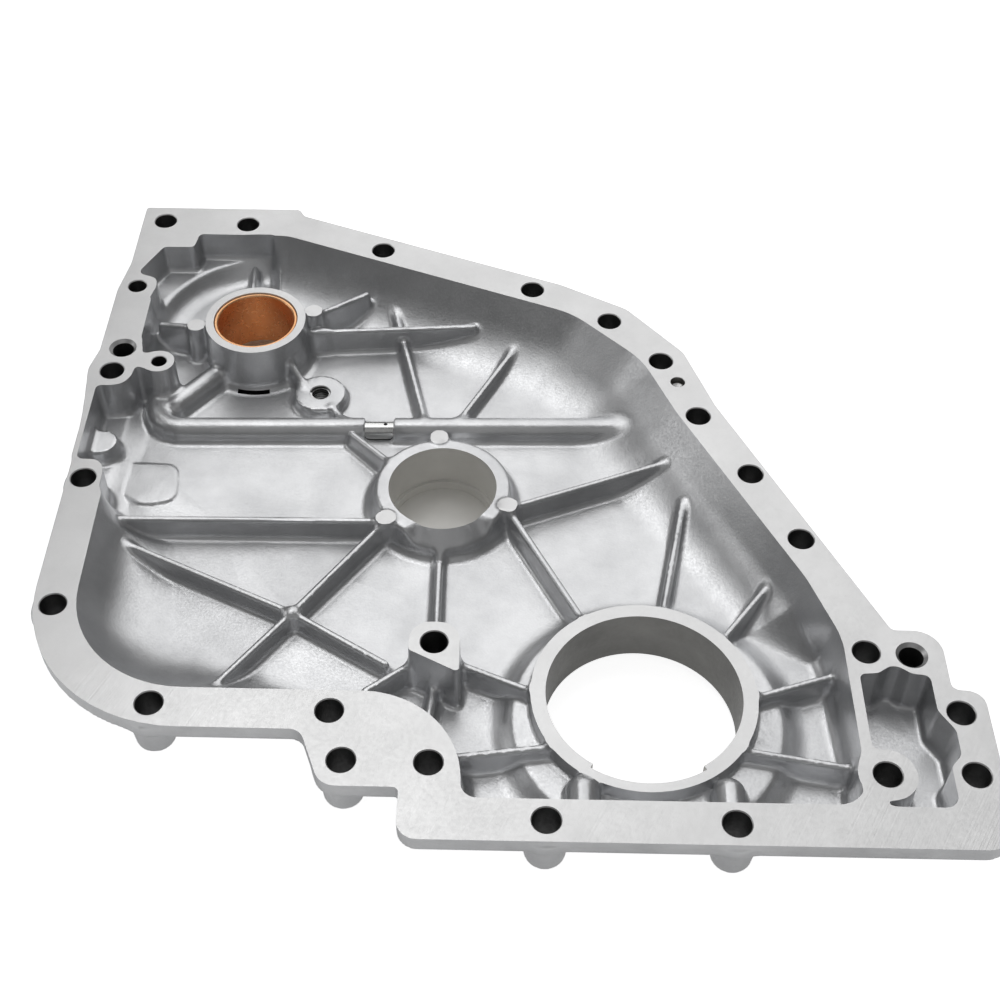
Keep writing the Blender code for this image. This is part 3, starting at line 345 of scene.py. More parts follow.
def rounded_path(corners: Sequence[Sequence[float]], turn: float = math.radians(6.0)) -> np.ndarray:
    """Outline with each corner rounded by an arc.

    Args:
        corners: Corner rows of x, y and radius. The cavity has its foot fillet and its wall's lean as well.
        turn: Largest angle of one arc step.

    Returns:
        Rows of x, y, fillet and lean.
    """
    rows: list[tuple[float, ...]] = []
    count = len(corners)
    for index, corner in enumerate(corners):
        here = np.array(corner[:2], float)
        radius = corner[2] if len(corner) > 2 else 0.0
        wall = tuple(corner[3:5]) if len(corner) > 3 else (0.0, 0.0)
        back = np.array(corners[index - 1][:2], float) - here
        ahead = np.array(corners[(index + 1) % count][:2], float) - here
        back /= np.linalg.norm(back)
        ahead /= np.linalg.norm(ahead)
        angle = math.acos(max(-1.0, min(1.0, float(back @ ahead))))
        if radius <= 0.0 or angle > math.radians(179.0):
            rows.append((here[0], here[1], *wall))
            continue
        reach = radius / math.tan(angle / 2)
        middle = back + ahead
        centre = here + middle / np.linalg.norm(middle) * radius / math.sin(angle / 2)
        first = here + back * reach - centre
        last = here + ahead * reach - centre
        start = math.atan2(first[1], first[0])
        sweep = math.remainder(math.atan2(last[1], last[0]) - start, math.tau)
        steps = max(2, math.ceil(abs(sweep) / turn))
        for step in range(steps + 1):
            spot = start + sweep * step / steps
            rows.append((centre[0] + radius * math.cos(spot), centre[1] + radius * math.sin(spot), *wall))
    return np.array(rows, np.float32)


def outline_distance(
    path: np.ndarray, x: np.ndarray, y: np.ndarray
) -> tuple[np.ndarray, np.ndarray, np.ndarray]:
    """Signed distance to a closed outline, below zero inside.

    Args:
        path: Rows of x, y, fillet and lean.
        x: Plan x of the points asked about.
        y: Plan y of the same points.

    Returns:
        The distance, and the fillet and lean of the nearest place on the outline.
    """
    best = np.full(x.shape, np.float32(1e9))
    fillet = np.zeros(x.shape, np.float32)
    lean = np.zeros(x.shape, np.float32)
    inside = np.zeros(x.shape, bool)
    for start, end in zip(path, np.roll(path, -1, axis=0)):
        along = end[:2] - start[:2]
        share = ((x - start[0]) * along[0] + (y - start[1]) * along[1]) / max(float(along @ along), 1e-9)
        share = np.clip(share, 0.0, 1.0)
        reach = (x - start[0] - along[0] * share) ** 2 + (y - start[1] - along[1] * share) ** 2
        nearer = reach < best
        best = np.where(nearer, reach, best)
        fillet = np.where(nearer, start[2] + (end[2] - start[2]) * share, fillet)
        lean = np.where(nearer, start[3] + (end[3] - start[3]) * share, lean)
        if abs(along[1]) > 1e-9:
            crossing = (start[1] > y) != (end[1] > y)
            inside ^= crossing & (x < along[0] * (y - start[1]) / along[1] + start[0])
    best = np.sqrt(best)
    return np.where(inside, -best, best), fillet, lean


def segment_distance(start: Place, end: Place, x: np.ndarray, y: np.ndarray) -> tuple[np.ndarray, np.ndarray]:
    """Distance to a straight plan line, and the share of the way along it.

    Args:
        start: First end of the line.
        end: Last end of the line.
        x: Plan x of the points asked about.
        y: Plan y of the same points.

    Returns:
        The distance and the share from 0 to 1.
    """
    along = (end[0] - start[0], end[1] - start[1])
    length = along[0] ** 2 + along[1] ** 2
    share = np.clip(((x - start[0]) * along[0] + (y - start[1]) * along[1]) / length, 0.0, 1.0)
    return np.hypot(x - start[0] - along[0] * share, y - start[1] - along[1] * share), share


def corner_round(side: np.ndarray, end: np.ndarray, radius: np.ndarray | float) -> np.ndarray:
    """Meeting of two faces with a rounded edge.

    Args:
        side: Distance outside the first face.
        end: Distance outside the second face.
        radius: Radius of the edge.

    Returns:
        The distance outside both.
    """
    first, second = side + radius, end + radius
    outer = np.hypot(np.maximum(first, 0.0), np.maximum(second, 0.0))
    return outer + np.minimum(np.maximum(first, second), 0.0) - radius


def fillet_union(first: np.ndarray, second: np.ndarray, radius: float) -> np.ndarray:
    """Two forms joined with a round fillet where they meet.

    Args:
        first: Distance field of the one.
        second: Distance field of the other.
        radius: Radius of the fillet.

    Returns:
        The joined field.
    """
    reach = np.hypot(np.maximum(radius - first, 0.0), np.maximum(radius - second, 0.0))
    return np.maximum(radius, np.minimum(first, second)) - reach


@dataclass
class ShapeField:
    """Distance field on a regular grid, in millimetres."""

    low: tuple[float, float, float]
    high: tuple[float, float, float]
    pitch: float

    def __post_init__(self) -> None:
        """Lays out the grid."""
        self.x, self.y, self.z = (
            np.arange(start, end, self.pitch, dtype=np.float32) for start, end in zip(self.low, self.high)
        )
        self.value = np.full((len(self.x), len(self.y), len(self.z)), FAR, np.float32)

    def window(self, places: Sequence[Place], margin: float) -> tuple[slice, slice]:
        """Part of the grid round some places.

        Args:
            places: Plan places that the part takes in.
            margin: Room round them.

        Returns:
            Slices of the first two axes.
        """
        slices = []
        for axis, values in enumerate((self.x, self.y)):
            low = min(place[axis] for place in places) - margin
            high = max(place[axis] for place in places) + margin
            slices.append(slice(int(np.searchsorted(values, low)), int(np.searchsorted(values, high))))
        return slices[0], slices[1]

    def plan(self, part: tuple[slice, slice]) -> tuple[np.ndarray, np.ndarray]:
        """Plan x and y of a part of the grid."""
        x, y = np.meshgrid(self.x[part[0]], self.y[part[1]], indexing="ij")
        return x, y

    def rise(self, distance: np.ndarray, top: np.ndarray | float, draft: float, edge: float) -> np.ndarray:
        """Upright form with drafted sides and a rounded top edge.

        Args:
            distance: Plan distance outside its top.
            top: Height of its top, which may change over the plan.
            draft: Widening for each unit of depth.
            edge: Radius of the top edge.

        Returns:
            The field of the form.
        """
        crown = np.asarray(top, np.float32)
        crown = crown[:, :, None] if crown.ndim else crown
        below = crown - self.z
        side = (distance[:, :, None] - draft * below) / math.sqrt(1.0 + draft * draft)
        return corner_round(side, -below, edge)

    def sink(self, distance: np.ndarray, bottom: float, draft: float, edge: float) -> np.ndarray:
        """Form with a flat bottom, rounded at its foot and open above.

        Args:
            distance: Plan distance outside its bottom.
            bottom: Height of its bottom.
            draft: Widening for each unit of height.
            edge: Radius of the bottom edge.

        Returns:
            The field of the form.
        """
        above = self.z - bottom
        side = (distance[:, :, None] - draft * above) / math.sqrt(1.0 + draft * draft)
        return corner_round(side, np.broadcast_to(-above, side.shape), edge)

    def join(self, part: tuple[slice, slice], form: np.ndarray, radius: float) -> None:
        """Joins a form to the field with a cast fillet."""
        self.value[part] = fillet_union(self.value[part], form, radius)

    def skin(self) -> tuple[np.ndarray, np.ndarray]:
        """Surface where the field is zero.

        Returns:
            Points, and four-sided faces that point outwards.
        """
        field = self.value
        inside = field < 0.0
        shape = tuple(size - 1 for size in field.shape)
        count = np.zeros(shape, np.int8)
        for step in np.ndindex(2, 2, 2):
            count += inside[tuple(slice(s, s + size) for s, size in zip(step, shape))]
        active = (count > 0) & (count < 8)
        cells = np.argwhere(active)
        number = np.full(shape, -1, np.int32)
        number[active] = np.arange(len(cells), dtype=np.int32)
        total = np.zeros((len(cells), 3))
        hits = np.zeros(len(cells))
        for axis in range(3):
            for step in np.ndindex(2, 2):
                offset = np.insert(np.array(step), axis, 0)
                start = cells + offset
                end = start.copy()
                end[:, axis] += 1
                first, last = field[tuple(start.T)], field[tuple(end.T)]
                crossed = (first < 0.0) != (last < 0.0)
                spot = np.tile(offset.astype(float), (len(cells), 1))
                spot[:, axis] += np.where(crossed, first / np.where(crossed, first - last, 1.0), 0.0)
                total[crossed] += spot[crossed]
                hits += crossed
        points = np.array(self.low) + (cells + total / hits[:, None]) * self.pitch
        faces = []
        for axis in range(3):
            across, beyond = (axis + 1) % 3, (axis + 2) % 3
            lower = np.moveaxis(inside, axis, 0)
            changed = np.moveaxis(lower[:-1] != lower[1:], 0, axis)
            edges = np.argwhere(changed)
            fits = (edges[:, across] > 0) & (edges[:, beyond] > 0)
            fits &= (edges[:, across] < shape[across]) & (edges[:, beyond] < shape[beyond])
            edges = edges[fits]
            ring = []
            for first, second in ((0, 0), (1, 0), (1, 1), (0, 1)):
                cell = edges.copy()
                cell[:, across] -= first
                cell[:, beyond] -= second
                ring.append(number[tuple(cell.T)])
            quads = np.stack(ring, axis=1)
            starts_inside = inside[tuple(edges.T)]
            faces.append(np.where(starts_inside[:, None], quads, quads[:, ::-1]))
        return points, np.concatenate(faces)


def to_world(points: np.ndarray) -> np.ndarray:
    """Points in millimetres from the crank axis, turned into metres in the row frame."""
    return (points - np.array((ORIGIN[0], ORIGIN[1], 0.0))) * MM


def world_place(x: float, y: float, z: float) -> Vector:
    """One place in millimetres, turned into metres in the row frame."""
    return Vector(((x - ORIGIN[0]) * MM, (y - ORIGIN[1]) * MM, z * MM))


def mesh_from_faces(name: str, points: np.ndarray, faces: np.ndarray) -> bpy.types.Mesh:
    """Mesh from arrays of points and equal-sized faces.

    Args:
        name: Name of the mesh.
        points: Rows of x, y and z in metres.
        faces: Rows of point numbers.

    Returns:
        The mesh.
    """
    mesh = bpy.data.meshes.new(name)
    mesh.vertices.add(len(points))
    mesh.vertices.foreach_set("co", points.astype(np.float32).ravel())
    mesh.loops.add(faces.size)
    mesh.loops.foreach_set("vertex_index", faces.astype(np.int32).ravel())
    mesh.polygons.add(len(faces))
    mesh.polygons.foreach_set("loop_start", np.arange(0, faces.size, faces.shape[1], dtype=np.int32))
    mesh.update(calc_edges=True)
    mesh.validate()
    return mesh


def link(name: str, mesh: bpy.types.Mesh) -> bpy.types.Object:
    """New object in the scene that shows a mesh."""
    obj = bpy.data.objects.new(name, mesh)
    bpy.context.scene.collection.objects.link(obj)
    return obj


def add_slots(mesh: bpy.types.Mesh, slots: Sequence[bpy.types.Material]) -> None:
    """Gives a mesh its materials, in order."""
    for slot in slots:
        mesh.materials.append(slot)


def bake(obj: bpy.types.Object, name: str) -> bpy.types.Object:
    """Replaces an object by a plain mesh of what its modifiers show.

    Args:
        obj: Object with its modifiers.
        name: Name of the new object.

    Returns:
        The plain object. The first one is removed.
    """
    graph = bpy.context.evaluated_depsgraph_get()
    mesh = bpy.data.meshes.new_from_object(obj.evaluated_get(graph))
    bpy.data.objects.remove(obj)
    mesh.name = name
    return link(name, mesh)


@dataclass
class CutterSet:
    """Closed forms that don't touch each other, held in one mesh, mostly to cut with."""

    name: str

    def __post_init__(self) -> None:
        """Starts with no cutter."""
        self.work = bmesh.new()

    def mark(self, faces: Sequence[bmesh.types.BMFace], surface: Surface) -> None:
        """Gives new faces the surface that they leave behind."""
        for face in faces:
            face.material_index = surface.value

    def turned(
        self, spot: Matrix, length: float, foot: float, crown: float, surface: Surface, steps: int
    ) -> None:
        """Adds a round cutter.

        Args:
            spot: Matrix of its middle and its turn.
            length: Its length.
            foot: Radius at the lower end.
            crown: Radius at the upper end.
            surface: Surface that it leaves.
            steps: Number of sides.
        """
        before = set(self.work.faces)
        bmesh.ops.create_cone(
            self.work, cap_ends=True, segments=steps, radius1=foot * MM, radius2=crown * MM,
            depth=length, matrix=spot,
        )
        self.mark([face for face in self.work.faces if face not in before], surface)

    def upright(self, cuts: Sequence[RoundCut]) -> None:
        """Adds upright round cutters."""
        for cut in cuts:
            spot = Matrix.Translation(world_place(cut.place[0], cut.place[1], (cut.low + cut.high) / 2))
            length = (cut.high - cut.low) * MM
            self.turned(spot, length, cut.radius, cut.crown or cut.radius, cut.surface, cut.steps)

    def lying(self, start: Place, end: Place, middle: float, radius: float, surface: Surface) -> None:
        """Adds a round cutter that lies along a plan line.

        Args:
            start: First end of the line.
            end: Last end of the line.
            middle: Height of its axis.
            radius: Its radius.
            surface: Surface that it leaves.
        """
        along = Vector(end) - Vector(start)
        turn = Matrix.Rotation(math.atan2(along.y, along.x), 4, "Z") @ Matrix.Rotation(math.pi / 2, 4, "Y")
        spot = Matrix.Translation(world_place((start[0] + end[0]) / 2, (start[1] + end[1]) / 2, middle))
        self.turned(spot @ turn, along.length * MM, radius, radius, surface, 40)

    def plate(self, path: np.ndarray, low: float, high: float, surface: Surface) -> None:
        """Adds an upright cutter over a plan outline.

        Args:
            path: Rows of x and y.
            low: Height of its lower end.
            high: Height of its upper end.
            surface: Surface that it leaves.
        """
        rings = [[self.work.verts.new(world_place(row[0], row[1], z)) for row in path] for z in (low, high)]
        faces = [self.work.faces.new(ring) for ring in rings]
        for index in range(len(path)):
            after = (index + 1) % len(path)
            corners = (rings[0][index], rings[0][after], rings[1][after], rings[1][index])
            faces.append(self.work.faces.new(corners))
        self.mark(faces, surface)

    def object(self, slots: Sequence[bpy.types.Material]) -> bpy.types.Object:
        """Object of the whole set.

        Args:
            slots: The casting's materials, in order.

        Returns:
            The object.
        """
        self.work.normal_update()
        bmesh.ops.recalc_face_normals(self.work, faces=self.work.faces)
        mesh = bpy.data.meshes.new(self.name)
        self.work.to_mesh(mesh)
        self.work.free()
        add_slots(mesh, slots)
        return link(self.name, mesh)


def machine(obj: bpy.types.Object, cutters: Sequence[bpy.types.Object], name: str) -> bpy.types.Object:
    """Cuts an object with each set of cutters in turn.

    Args:
        obj: Object to cut. It is removed.
        cutters: Objects that hold the cutters. They are removed as well.
        name: Name of the result.

    Returns:
        The plain object that is left.
    """
    for cutter in cutters:
        modifier = obj.modifiers.new(cutter.name, "BOOLEAN")
        modifier.operation = "DIFFERENCE"
        modifier.solver = "MANIFOLD"
        modifier.object = cutter
    plain = bake(obj, name)
    for cutter in cutters:
        bpy.data.objects.remove(cutter)
    return plain


def smooth(mesh: bpy.types.Mesh, degrees: float) -> None:
    """Shades a mesh smooth, with sharp edges past an angle."""
    mesh.shade_smooth()
    mesh.set_sharp_from_angle(angle=math.radians(degrees))


def node_group(
    name: str, kind: str, inputs: dict[str, str], outputs: dict[str, str]
) -> tuple[bpy.types.NodeTree, bpy.types.Node, bpy.types.Node, dict[str, str]]:
    """New node group with named sockets.

    Args:
        name: Its name.
        kind: Type of its tree.
        inputs: Kind of socket for each input, such as Float.
        outputs: Kind of socket for each output.

    Returns:
        The group, its input and output nodes, and its inputs' identifiers by name.
    """
    tree = bpy.data.node_groups.new(name, kind)
    names = {}
    for label, value in inputs.items():
        item = tree.interface.new_socket(name=label, in_out="INPUT", socket_type=f"NodeSocket{value}")
        names[label] = item.identifier
    for label, value in outputs.items():
        tree.interface.new_socket(name=label, in_out="OUTPUT", socket_type=f"NodeSocket{value}")
    return tree, tree.nodes.new("NodeGroupInput"), tree.nodes.new("NodeGroupOutput"), names


def wire(
    tree: bpy.types.NodeTree, rows: Sequence[tuple[bpy.types.Node, str, bpy.types.Node, str]]
) -> None:
    """Links nodes by their sockets' names, with each row a node, its output, a node and its input."""
    for start, output, end, entry in rows:
        tree.links.new(start.outputs[output], end.inputs[entry])


def end_geometry(
    tree: bpy.types.NodeTree, form: bpy.types.NodeSocket, source: bpy.types.Node, result: bpy.types.Node
) -> None:
    """Ends a Geometry Nodes tree with real geometry in the material that it is given.

    Args:
        tree: The tree.
        form: Socket of the geometry.
        source: The tree's input node, which has a Material.
        result: The tree's output node.
    """
    real = tree.nodes.new("GeometryNodeRealizeInstances")
    paint = tree.nodes.new("GeometryNodeSetMaterial")
    tree.links.new(form, real.inputs["Geometry"])
    wire(tree, ((real, "Geometry", paint, "Geometry"), (source, "Material", paint, "Material")))
    tree.links.new(paint.outputs["Geometry"], result.inputs[0])


def add_geometry(
    obj: bpy.types.Object, tree: bpy.types.NodeTree, names: dict[str, str], values: dict[str, object]
) -> None:
    """Gives an object a Geometry Nodes modifier.

    Args:
        obj: The object.
        tree: Its node tree.
        names: Identifiers of the tree's inputs by name.
        values: What the inputs are set to, by name.
    """
    modifier = obj.modifiers.new(tree.name, "NODES")
    modifier.node_group = tree
    for label, value in values.items():
        modifier[names[label]] = value


def math_node(
    tree: bpy.types.NodeTree,
    operation: str,
    first: bpy.types.NodeSocket,
    second: bpy.types.NodeSocket | float,
) -> bpy.types.Node:
    """Math node on a socket and another socket or a plain number."""
    node = tree.nodes.new("ShaderNodeMath")
    node.operation = operation
    tree.links.new(first, node.inputs[0])
    if isinstance(second, float):
        node.inputs[1].default_value = second
    else:
        tree.links.new(second, node.inputs[1])
    return node


def map_range(
    tree: bpy.types.NodeTree, value: bpy.types.NodeSocket, source: Place, target: Place = (0.0, 1.0)
) -> bpy.types.NodeSocket:
    """Value stretched from one range to another."""
    node = tree.nodes.new("ShaderNodeMapRange")
    for name, number in zip(("From Min", "From Max", "To Min", "To Max"), source + target):
        node.inputs[name].default_value = number
    tree.links.new(value, node.inputs["Value"])
    return node.outputs["Result"]


def bump_node(tree: bpy.types.NodeTree, value: bpy.types.NodeSocket, distance: float) -> bpy.types.Node:
    """Bump node on a height, with its depth in metres."""
    node = tree.nodes.new("ShaderNodeBump")
    node.inputs["Strength"].default_value = 1.0
    node.inputs["Distance"].default_value = distance
    tree.links.new(value, node.inputs["Height"])
    return node


@dataclass(frozen=True)
class DrillPattern:
    """Round cutters repeated over a pattern of places by Geometry Nodes."""

    diameter: float
    low: float
    high: float
    steps: int = 48

    def tree(self) -> tuple[bpy.types.NodeTree, dict[str, str]]:
        """Node tree that puts a round cutter on every point.

        Returns:
            The tree, and its inputs' identifiers by name.
        """
        inputs = {
            "Places": "Geometry", "Diameter": "Float", "Length": "Float", "Sides": "Int",
            "Material": "Material",
        }
        tree, source, result, names = node_group(
            "drill_pattern", "GeometryNodeTree", inputs, {"Cutters": "Geometry"}
        )
        half = math_node(tree, "MULTIPLY", source.outputs["Diameter"], 0.5)
        bar = tree.nodes.new("GeometryNodeMeshCylinder")
        spread = tree.nodes.new("GeometryNodeInstanceOnPoints")
        wire(tree, (
            (half, "Value", bar, "Radius"), (source, "Length", bar, "Depth"),
            (source, "Sides", bar, "Vertices"), (source, "Places", spread, "Points"),
            (bar, "Mesh", spread, "Instance"),
        ))
        end_geometry(tree, spread.outputs["Instances"], source, result)
        return tree, names

    def cutters(
        self, name: str, places: Sequence[Place], slots: Sequence[bpy.types.Material]
    ) -> bpy.types.Object:
        """Cutters at the given places.

        Args:
            name: Name of the object.
            places: Plan places of the holes.
            slots: The casting's materials, in order.

        Returns:
            A plain object that holds every cutter.
        """
        middle = (self.low + self.high) / 2
        mesh = bpy.data.meshes.new(name)
        mesh.from_pydata([world_place(x, y, middle) for x, y in places], [], [])
        obj = link(name, mesh)
        values = {
            "Diameter": self.diameter * MM, "Length": (self.high - self.low) * MM, "Sides": self.steps,
            "Material": slots[Surface.DRILLED.value],
        }
        add_geometry(obj, *self.tree(), values)
        plain = bake(obj, name)
        plain.data.materials.clear()
        add_slots(plain.data, slots)
        plain.data.polygons.foreach_set(
            "material_index", np.full(len(plain.data.polygons), Surface.DRILLED.value, np.int32)
        )
        return plain


@dataclass(frozen=True)
class Grain:
    """Shader group for the mottled skin of bare metal."""

    name: str = "metal_grain"

    def group(self) -> bpy.types.NodeTree:
        """Builds the group once.

        Returns:
            The group, with Blotch, Grain and Height as its outputs.
        """
        found = bpy.data.node_groups.get(self.name)
        if found:
            return found
        inputs = {"Vector": "Vector", "Blotch Scale": "Float", "Grain Scale": "Float", "Pit Scale": "Float"}
        outputs = {"Blotch": "Float", "Grain": "Float", "Height": "Float"}
        tree, source, result, _ = node_group(self.name, "ShaderNodeTree", inputs, outputs)
        nodes, links = tree.nodes, tree.links
        blotch = nodes.new("ShaderNodeTexNoise")
        grain = nodes.new("ShaderNodeTexNoise")
        pits = nodes.new("ShaderNodeTexNoise")
        blotch.inputs["Detail"].default_value = 5.0
        blotch.inputs["Roughness"].default_value = 0.6
        grain.inputs["Detail"].default_value = 3.0
        pits.inputs["Detail"].default_value = 2.0
        for texture, scale in ((blotch, "Blotch Scale"), (grain, "Grain Scale"), (pits, "Pit Scale")):
            links.new(source.outputs["Vector"], texture.inputs["Vector"])
            links.new(source.outputs[scale], texture.inputs["Scale"])
        mix = nodes.new("ShaderNodeMix")
        mix.inputs["Factor"].default_value = 0.45
        links.new(grain.outputs["Fac"], mix.inputs["A"])
        links.new(pits.outputs["Fac"], mix.inputs["B"])
        links.new(blotch.outputs["Fac"], result.inputs["Blotch"])
        links.new(grain.outputs["Fac"], result.inputs["Grain"])
        links.new(mix.outputs["Result"], result.inputs["Height"])
        return tree


@dataclass(frozen=True)
class ToolMarks:
    """Shader group for the fine lines that a tool leaves."""

    name: str = "tool_marks"

    def group(self) -> bpy.types.NodeTree:
        """Builds the group once.

        Returns:
            The group, whose output Lines runs from 0 to 1.
        """
        found = bpy.data.node_groups.get(self.name)
        if found:
            return found
        inputs = {"Distance": "Float", "Pitch": "Float", "Vector": "Vector"}
        tree, source, result, _ = node_group(self.name, "ShaderNodeTree", inputs, {"Lines": "Float"})
        nodes, links = tree.nodes, tree.links
        share = math_node(tree, "DIVIDE", source.outputs["Distance"], source.outputs["Pitch"])
        lines = nodes.new("ShaderNodeTexNoise")
        lines.noise_dimensions = "1D"
        lines.inputs["Scale"].default_value = 1.0
        lines.inputs["Detail"].default_value = 3.0
        links.new(share.outputs[0], lines.inputs["W"])
        patch = nodes.new("ShaderNodeTexNoise")
        patch.inputs["Scale"].default_value = 45.0
        links.new(source.outputs["Vector"], patch.inputs["Vector"])
        mix = math_node(tree, "MULTIPLY", lines.outputs["Fac"], patch.outputs["Fac"])
        gain = math_node(tree, "MULTIPLY", mix.outputs[0], 2.0)
        gain.use_clamp = True
        links.new(gain.outputs[0], result.inputs["Lines"])
        return tree


@dataclass(frozen=True)
class MetalFinish:
    """Bare metal with a mottled skin."""

    name: str
    dark: tuple[float, float, float]
    light: tuple[float, float, float]
    metallic: float
    roughness: tuple[float, float]
    blotch: float
    grain: float
    bump: float

    def start(self) -> tuple[bpy.types.Material, bpy.types.Node, bpy.types.Node]:
        """Material with its mottled colour, its roughness and its bump.

        Returns:
            The material, its coordinates node and its bump node.
        """
        material = bpy.data.materials.new(self.name)
        material.use_nodes = True
        tree = material.node_tree
        nodes, links = tree.nodes, tree.links
        shader = nodes["Principled BSDF"]
        shader.inputs["Metallic"].default_value = self.metallic
        coordinates = nodes.new("ShaderNodeTexCoord")
        skin = nodes.new("ShaderNodeGroup")
        skin.node_tree = Grain().group()
        skin.inputs["Blotch Scale"].default_value = self.blotch
        skin.inputs["Grain Scale"].default_value = self.grain
        skin.inputs["Pit Scale"].default_value = PIT_SCALE
        links.new(coordinates.outputs["Object"], skin.inputs["Vector"])
        colour = nodes.new("ShaderNodeMix")
        colour.data_type = "RGBA"
        colour.inputs[6].default_value = (*self.dark, 1.0)
        colour.inputs[7].default_value = (*self.light, 1.0)
        links.new(map_range(tree, skin.outputs["Blotch"], (0.34, 0.66)), colour.inputs["Factor"])
        links.new(colour.outputs[2], shader.inputs["Base Color"])
        rough = map_range(tree, skin.outputs["Grain"], (0.3, 0.7), self.roughness)
        links.new(rough, shader.inputs["Roughness"])
        bump = bump_node(tree, skin.outputs["Height"], self.bump)
        links.new(bump.outputs["Normal"], shader.inputs["Normal"])
        return material, coordinates, bump

    def material(self) -> bpy.types.Material:
        """The finished material."""
        return self.start()[0]


@dataclass(frozen=True)
class CutFinish(MetalFinish):
    """Bare metal with the marks of a cutting tool over it."""

    pitch: float = 0.0008
    mark: float = 0.00002
    centre: tuple[float, float, float] = (0.0, 0.0, 0.0)
    flat: bool = True

    def material(self) -> bpy.types.Material:
        """The finished material, with marks in arcs on a flat face or round a bore."""
        material, coordinates, bump = self.start()
        nodes, links = material.node_tree.nodes, material.node_tree.links
        move = nodes.new("ShaderNodeMapping")
        move.vector_type = "POINT"
        move.inputs["Location"].default_value = tuple(-value for value in self.centre)
        links.new(coordinates.outputs["Object"], move.inputs["Vector"])
        if self.flat:
            reach = nodes.new("ShaderNodeVectorMath")
            reach.operation = "LENGTH"
            links.new(move.outputs["Vector"], reach.inputs[0])
            distance = reach.outputs["Value"]
        else:
            split = nodes.new("ShaderNodeSeparateXYZ")
            links.new(move.outputs["Vector"], split.inputs[0])
            distance = split.outputs["Z"]
        marks = nodes.new("ShaderNodeGroup")
        marks.node_tree = ToolMarks().group()
        marks.inputs["Pitch"].default_value = self.pitch
        links.new(distance, marks.inputs["Distance"])
        links.new(coordinates.outputs["Object"], marks.inputs["Vector"])
        scored = bump_node(material.node_tree, marks.outputs["Lines"], self.mark)
        links.new(scored.outputs["Normal"], bump.inputs["Normal"])
        return material


PIT_SCALE = 260.0
CAST_SKIN = MetalFinish(
    "cast_skin", (0.60, 0.605, 0.615), (0.73, 0.735, 0.745), metallic=0.95, roughness=(0.29, 0.42),
    blotch=42.0, grain=950.0, bump=0.0001,
)
MILLED_FACE = CutFinish(
    "milled_face", (0.66, 0.66, 0.66), (0.74, 0.74, 0.74), metallic=0.9, roughness=(0.34, 0.42),
    blotch=24.0, grain=700.0, bump=0.00003, pitch=0.0007, mark=0.00003, centre=(0.9, -0.6, 0.0),
)
TURNED_BORE = CutFinish(
    "turned_bore", (0.80, 0.79, 0.76), (0.88, 0.87, 0.84), metallic=0.2, roughness=(0.28, 0.42),
    blotch=40.0, grain=600.0, bump=0.00002, pitch=0.0005, mark=0.00004, flat=False,
)
SEAL_BORE = CutFinish(
    "seal_bore", (0.22, 0.218, 0.21), (0.30, 0.297, 0.285), metallic=0.95, roughness=(0.28, 0.42),
    blotch=40.0, grain=600.0, bump=0.00002, pitch=0.0005, mark=0.00004, flat=False,
)
# Walls of drilled holes, slots and seats: a near-black colour that paints the shade deep inside the holes
# onto their walls. Bare drilled aluminium is as light as the other cut faces.
DRILLED_PAINTED_SHADE = CutFinish(
    "drilled_painted_shade", (0.07, 0.07, 0.07), (0.13, 0.13, 0.13), metallic=0.8, roughness=(0.45, 0.6),
    blotch=80.0, grain=600.0, bump=0.00002, pitch=0.0006, mark=0.00006, flat=False,
)
BRONZE = CutFinish(
    "bush_bronze", (0.95, 0.47, 0.21), (0.98, 0.58, 0.31), metallic=0.8, roughness=(0.24, 0.36),
    blotch=50.0, grain=500.0, bump=0.00002, pitch=0.0006, mark=0.00003, flat=False,
)
STEEL = CutFinish(
    "tube_steel", (0.62, 0.62, 0.61), (0.75, 0.75, 0.74), metallic=1.0, roughness=(0.16, 0.26),
    blotch=80.0, grain=700.0, bump=0.00001, pitch=0.0004, mark=0.00001,
)
CASTING_FINISHES = (CAST_SKIN, MILLED_FACE, TURNED_BORE, DRILLED_PAINTED_SHADE, SEAL_BORE)


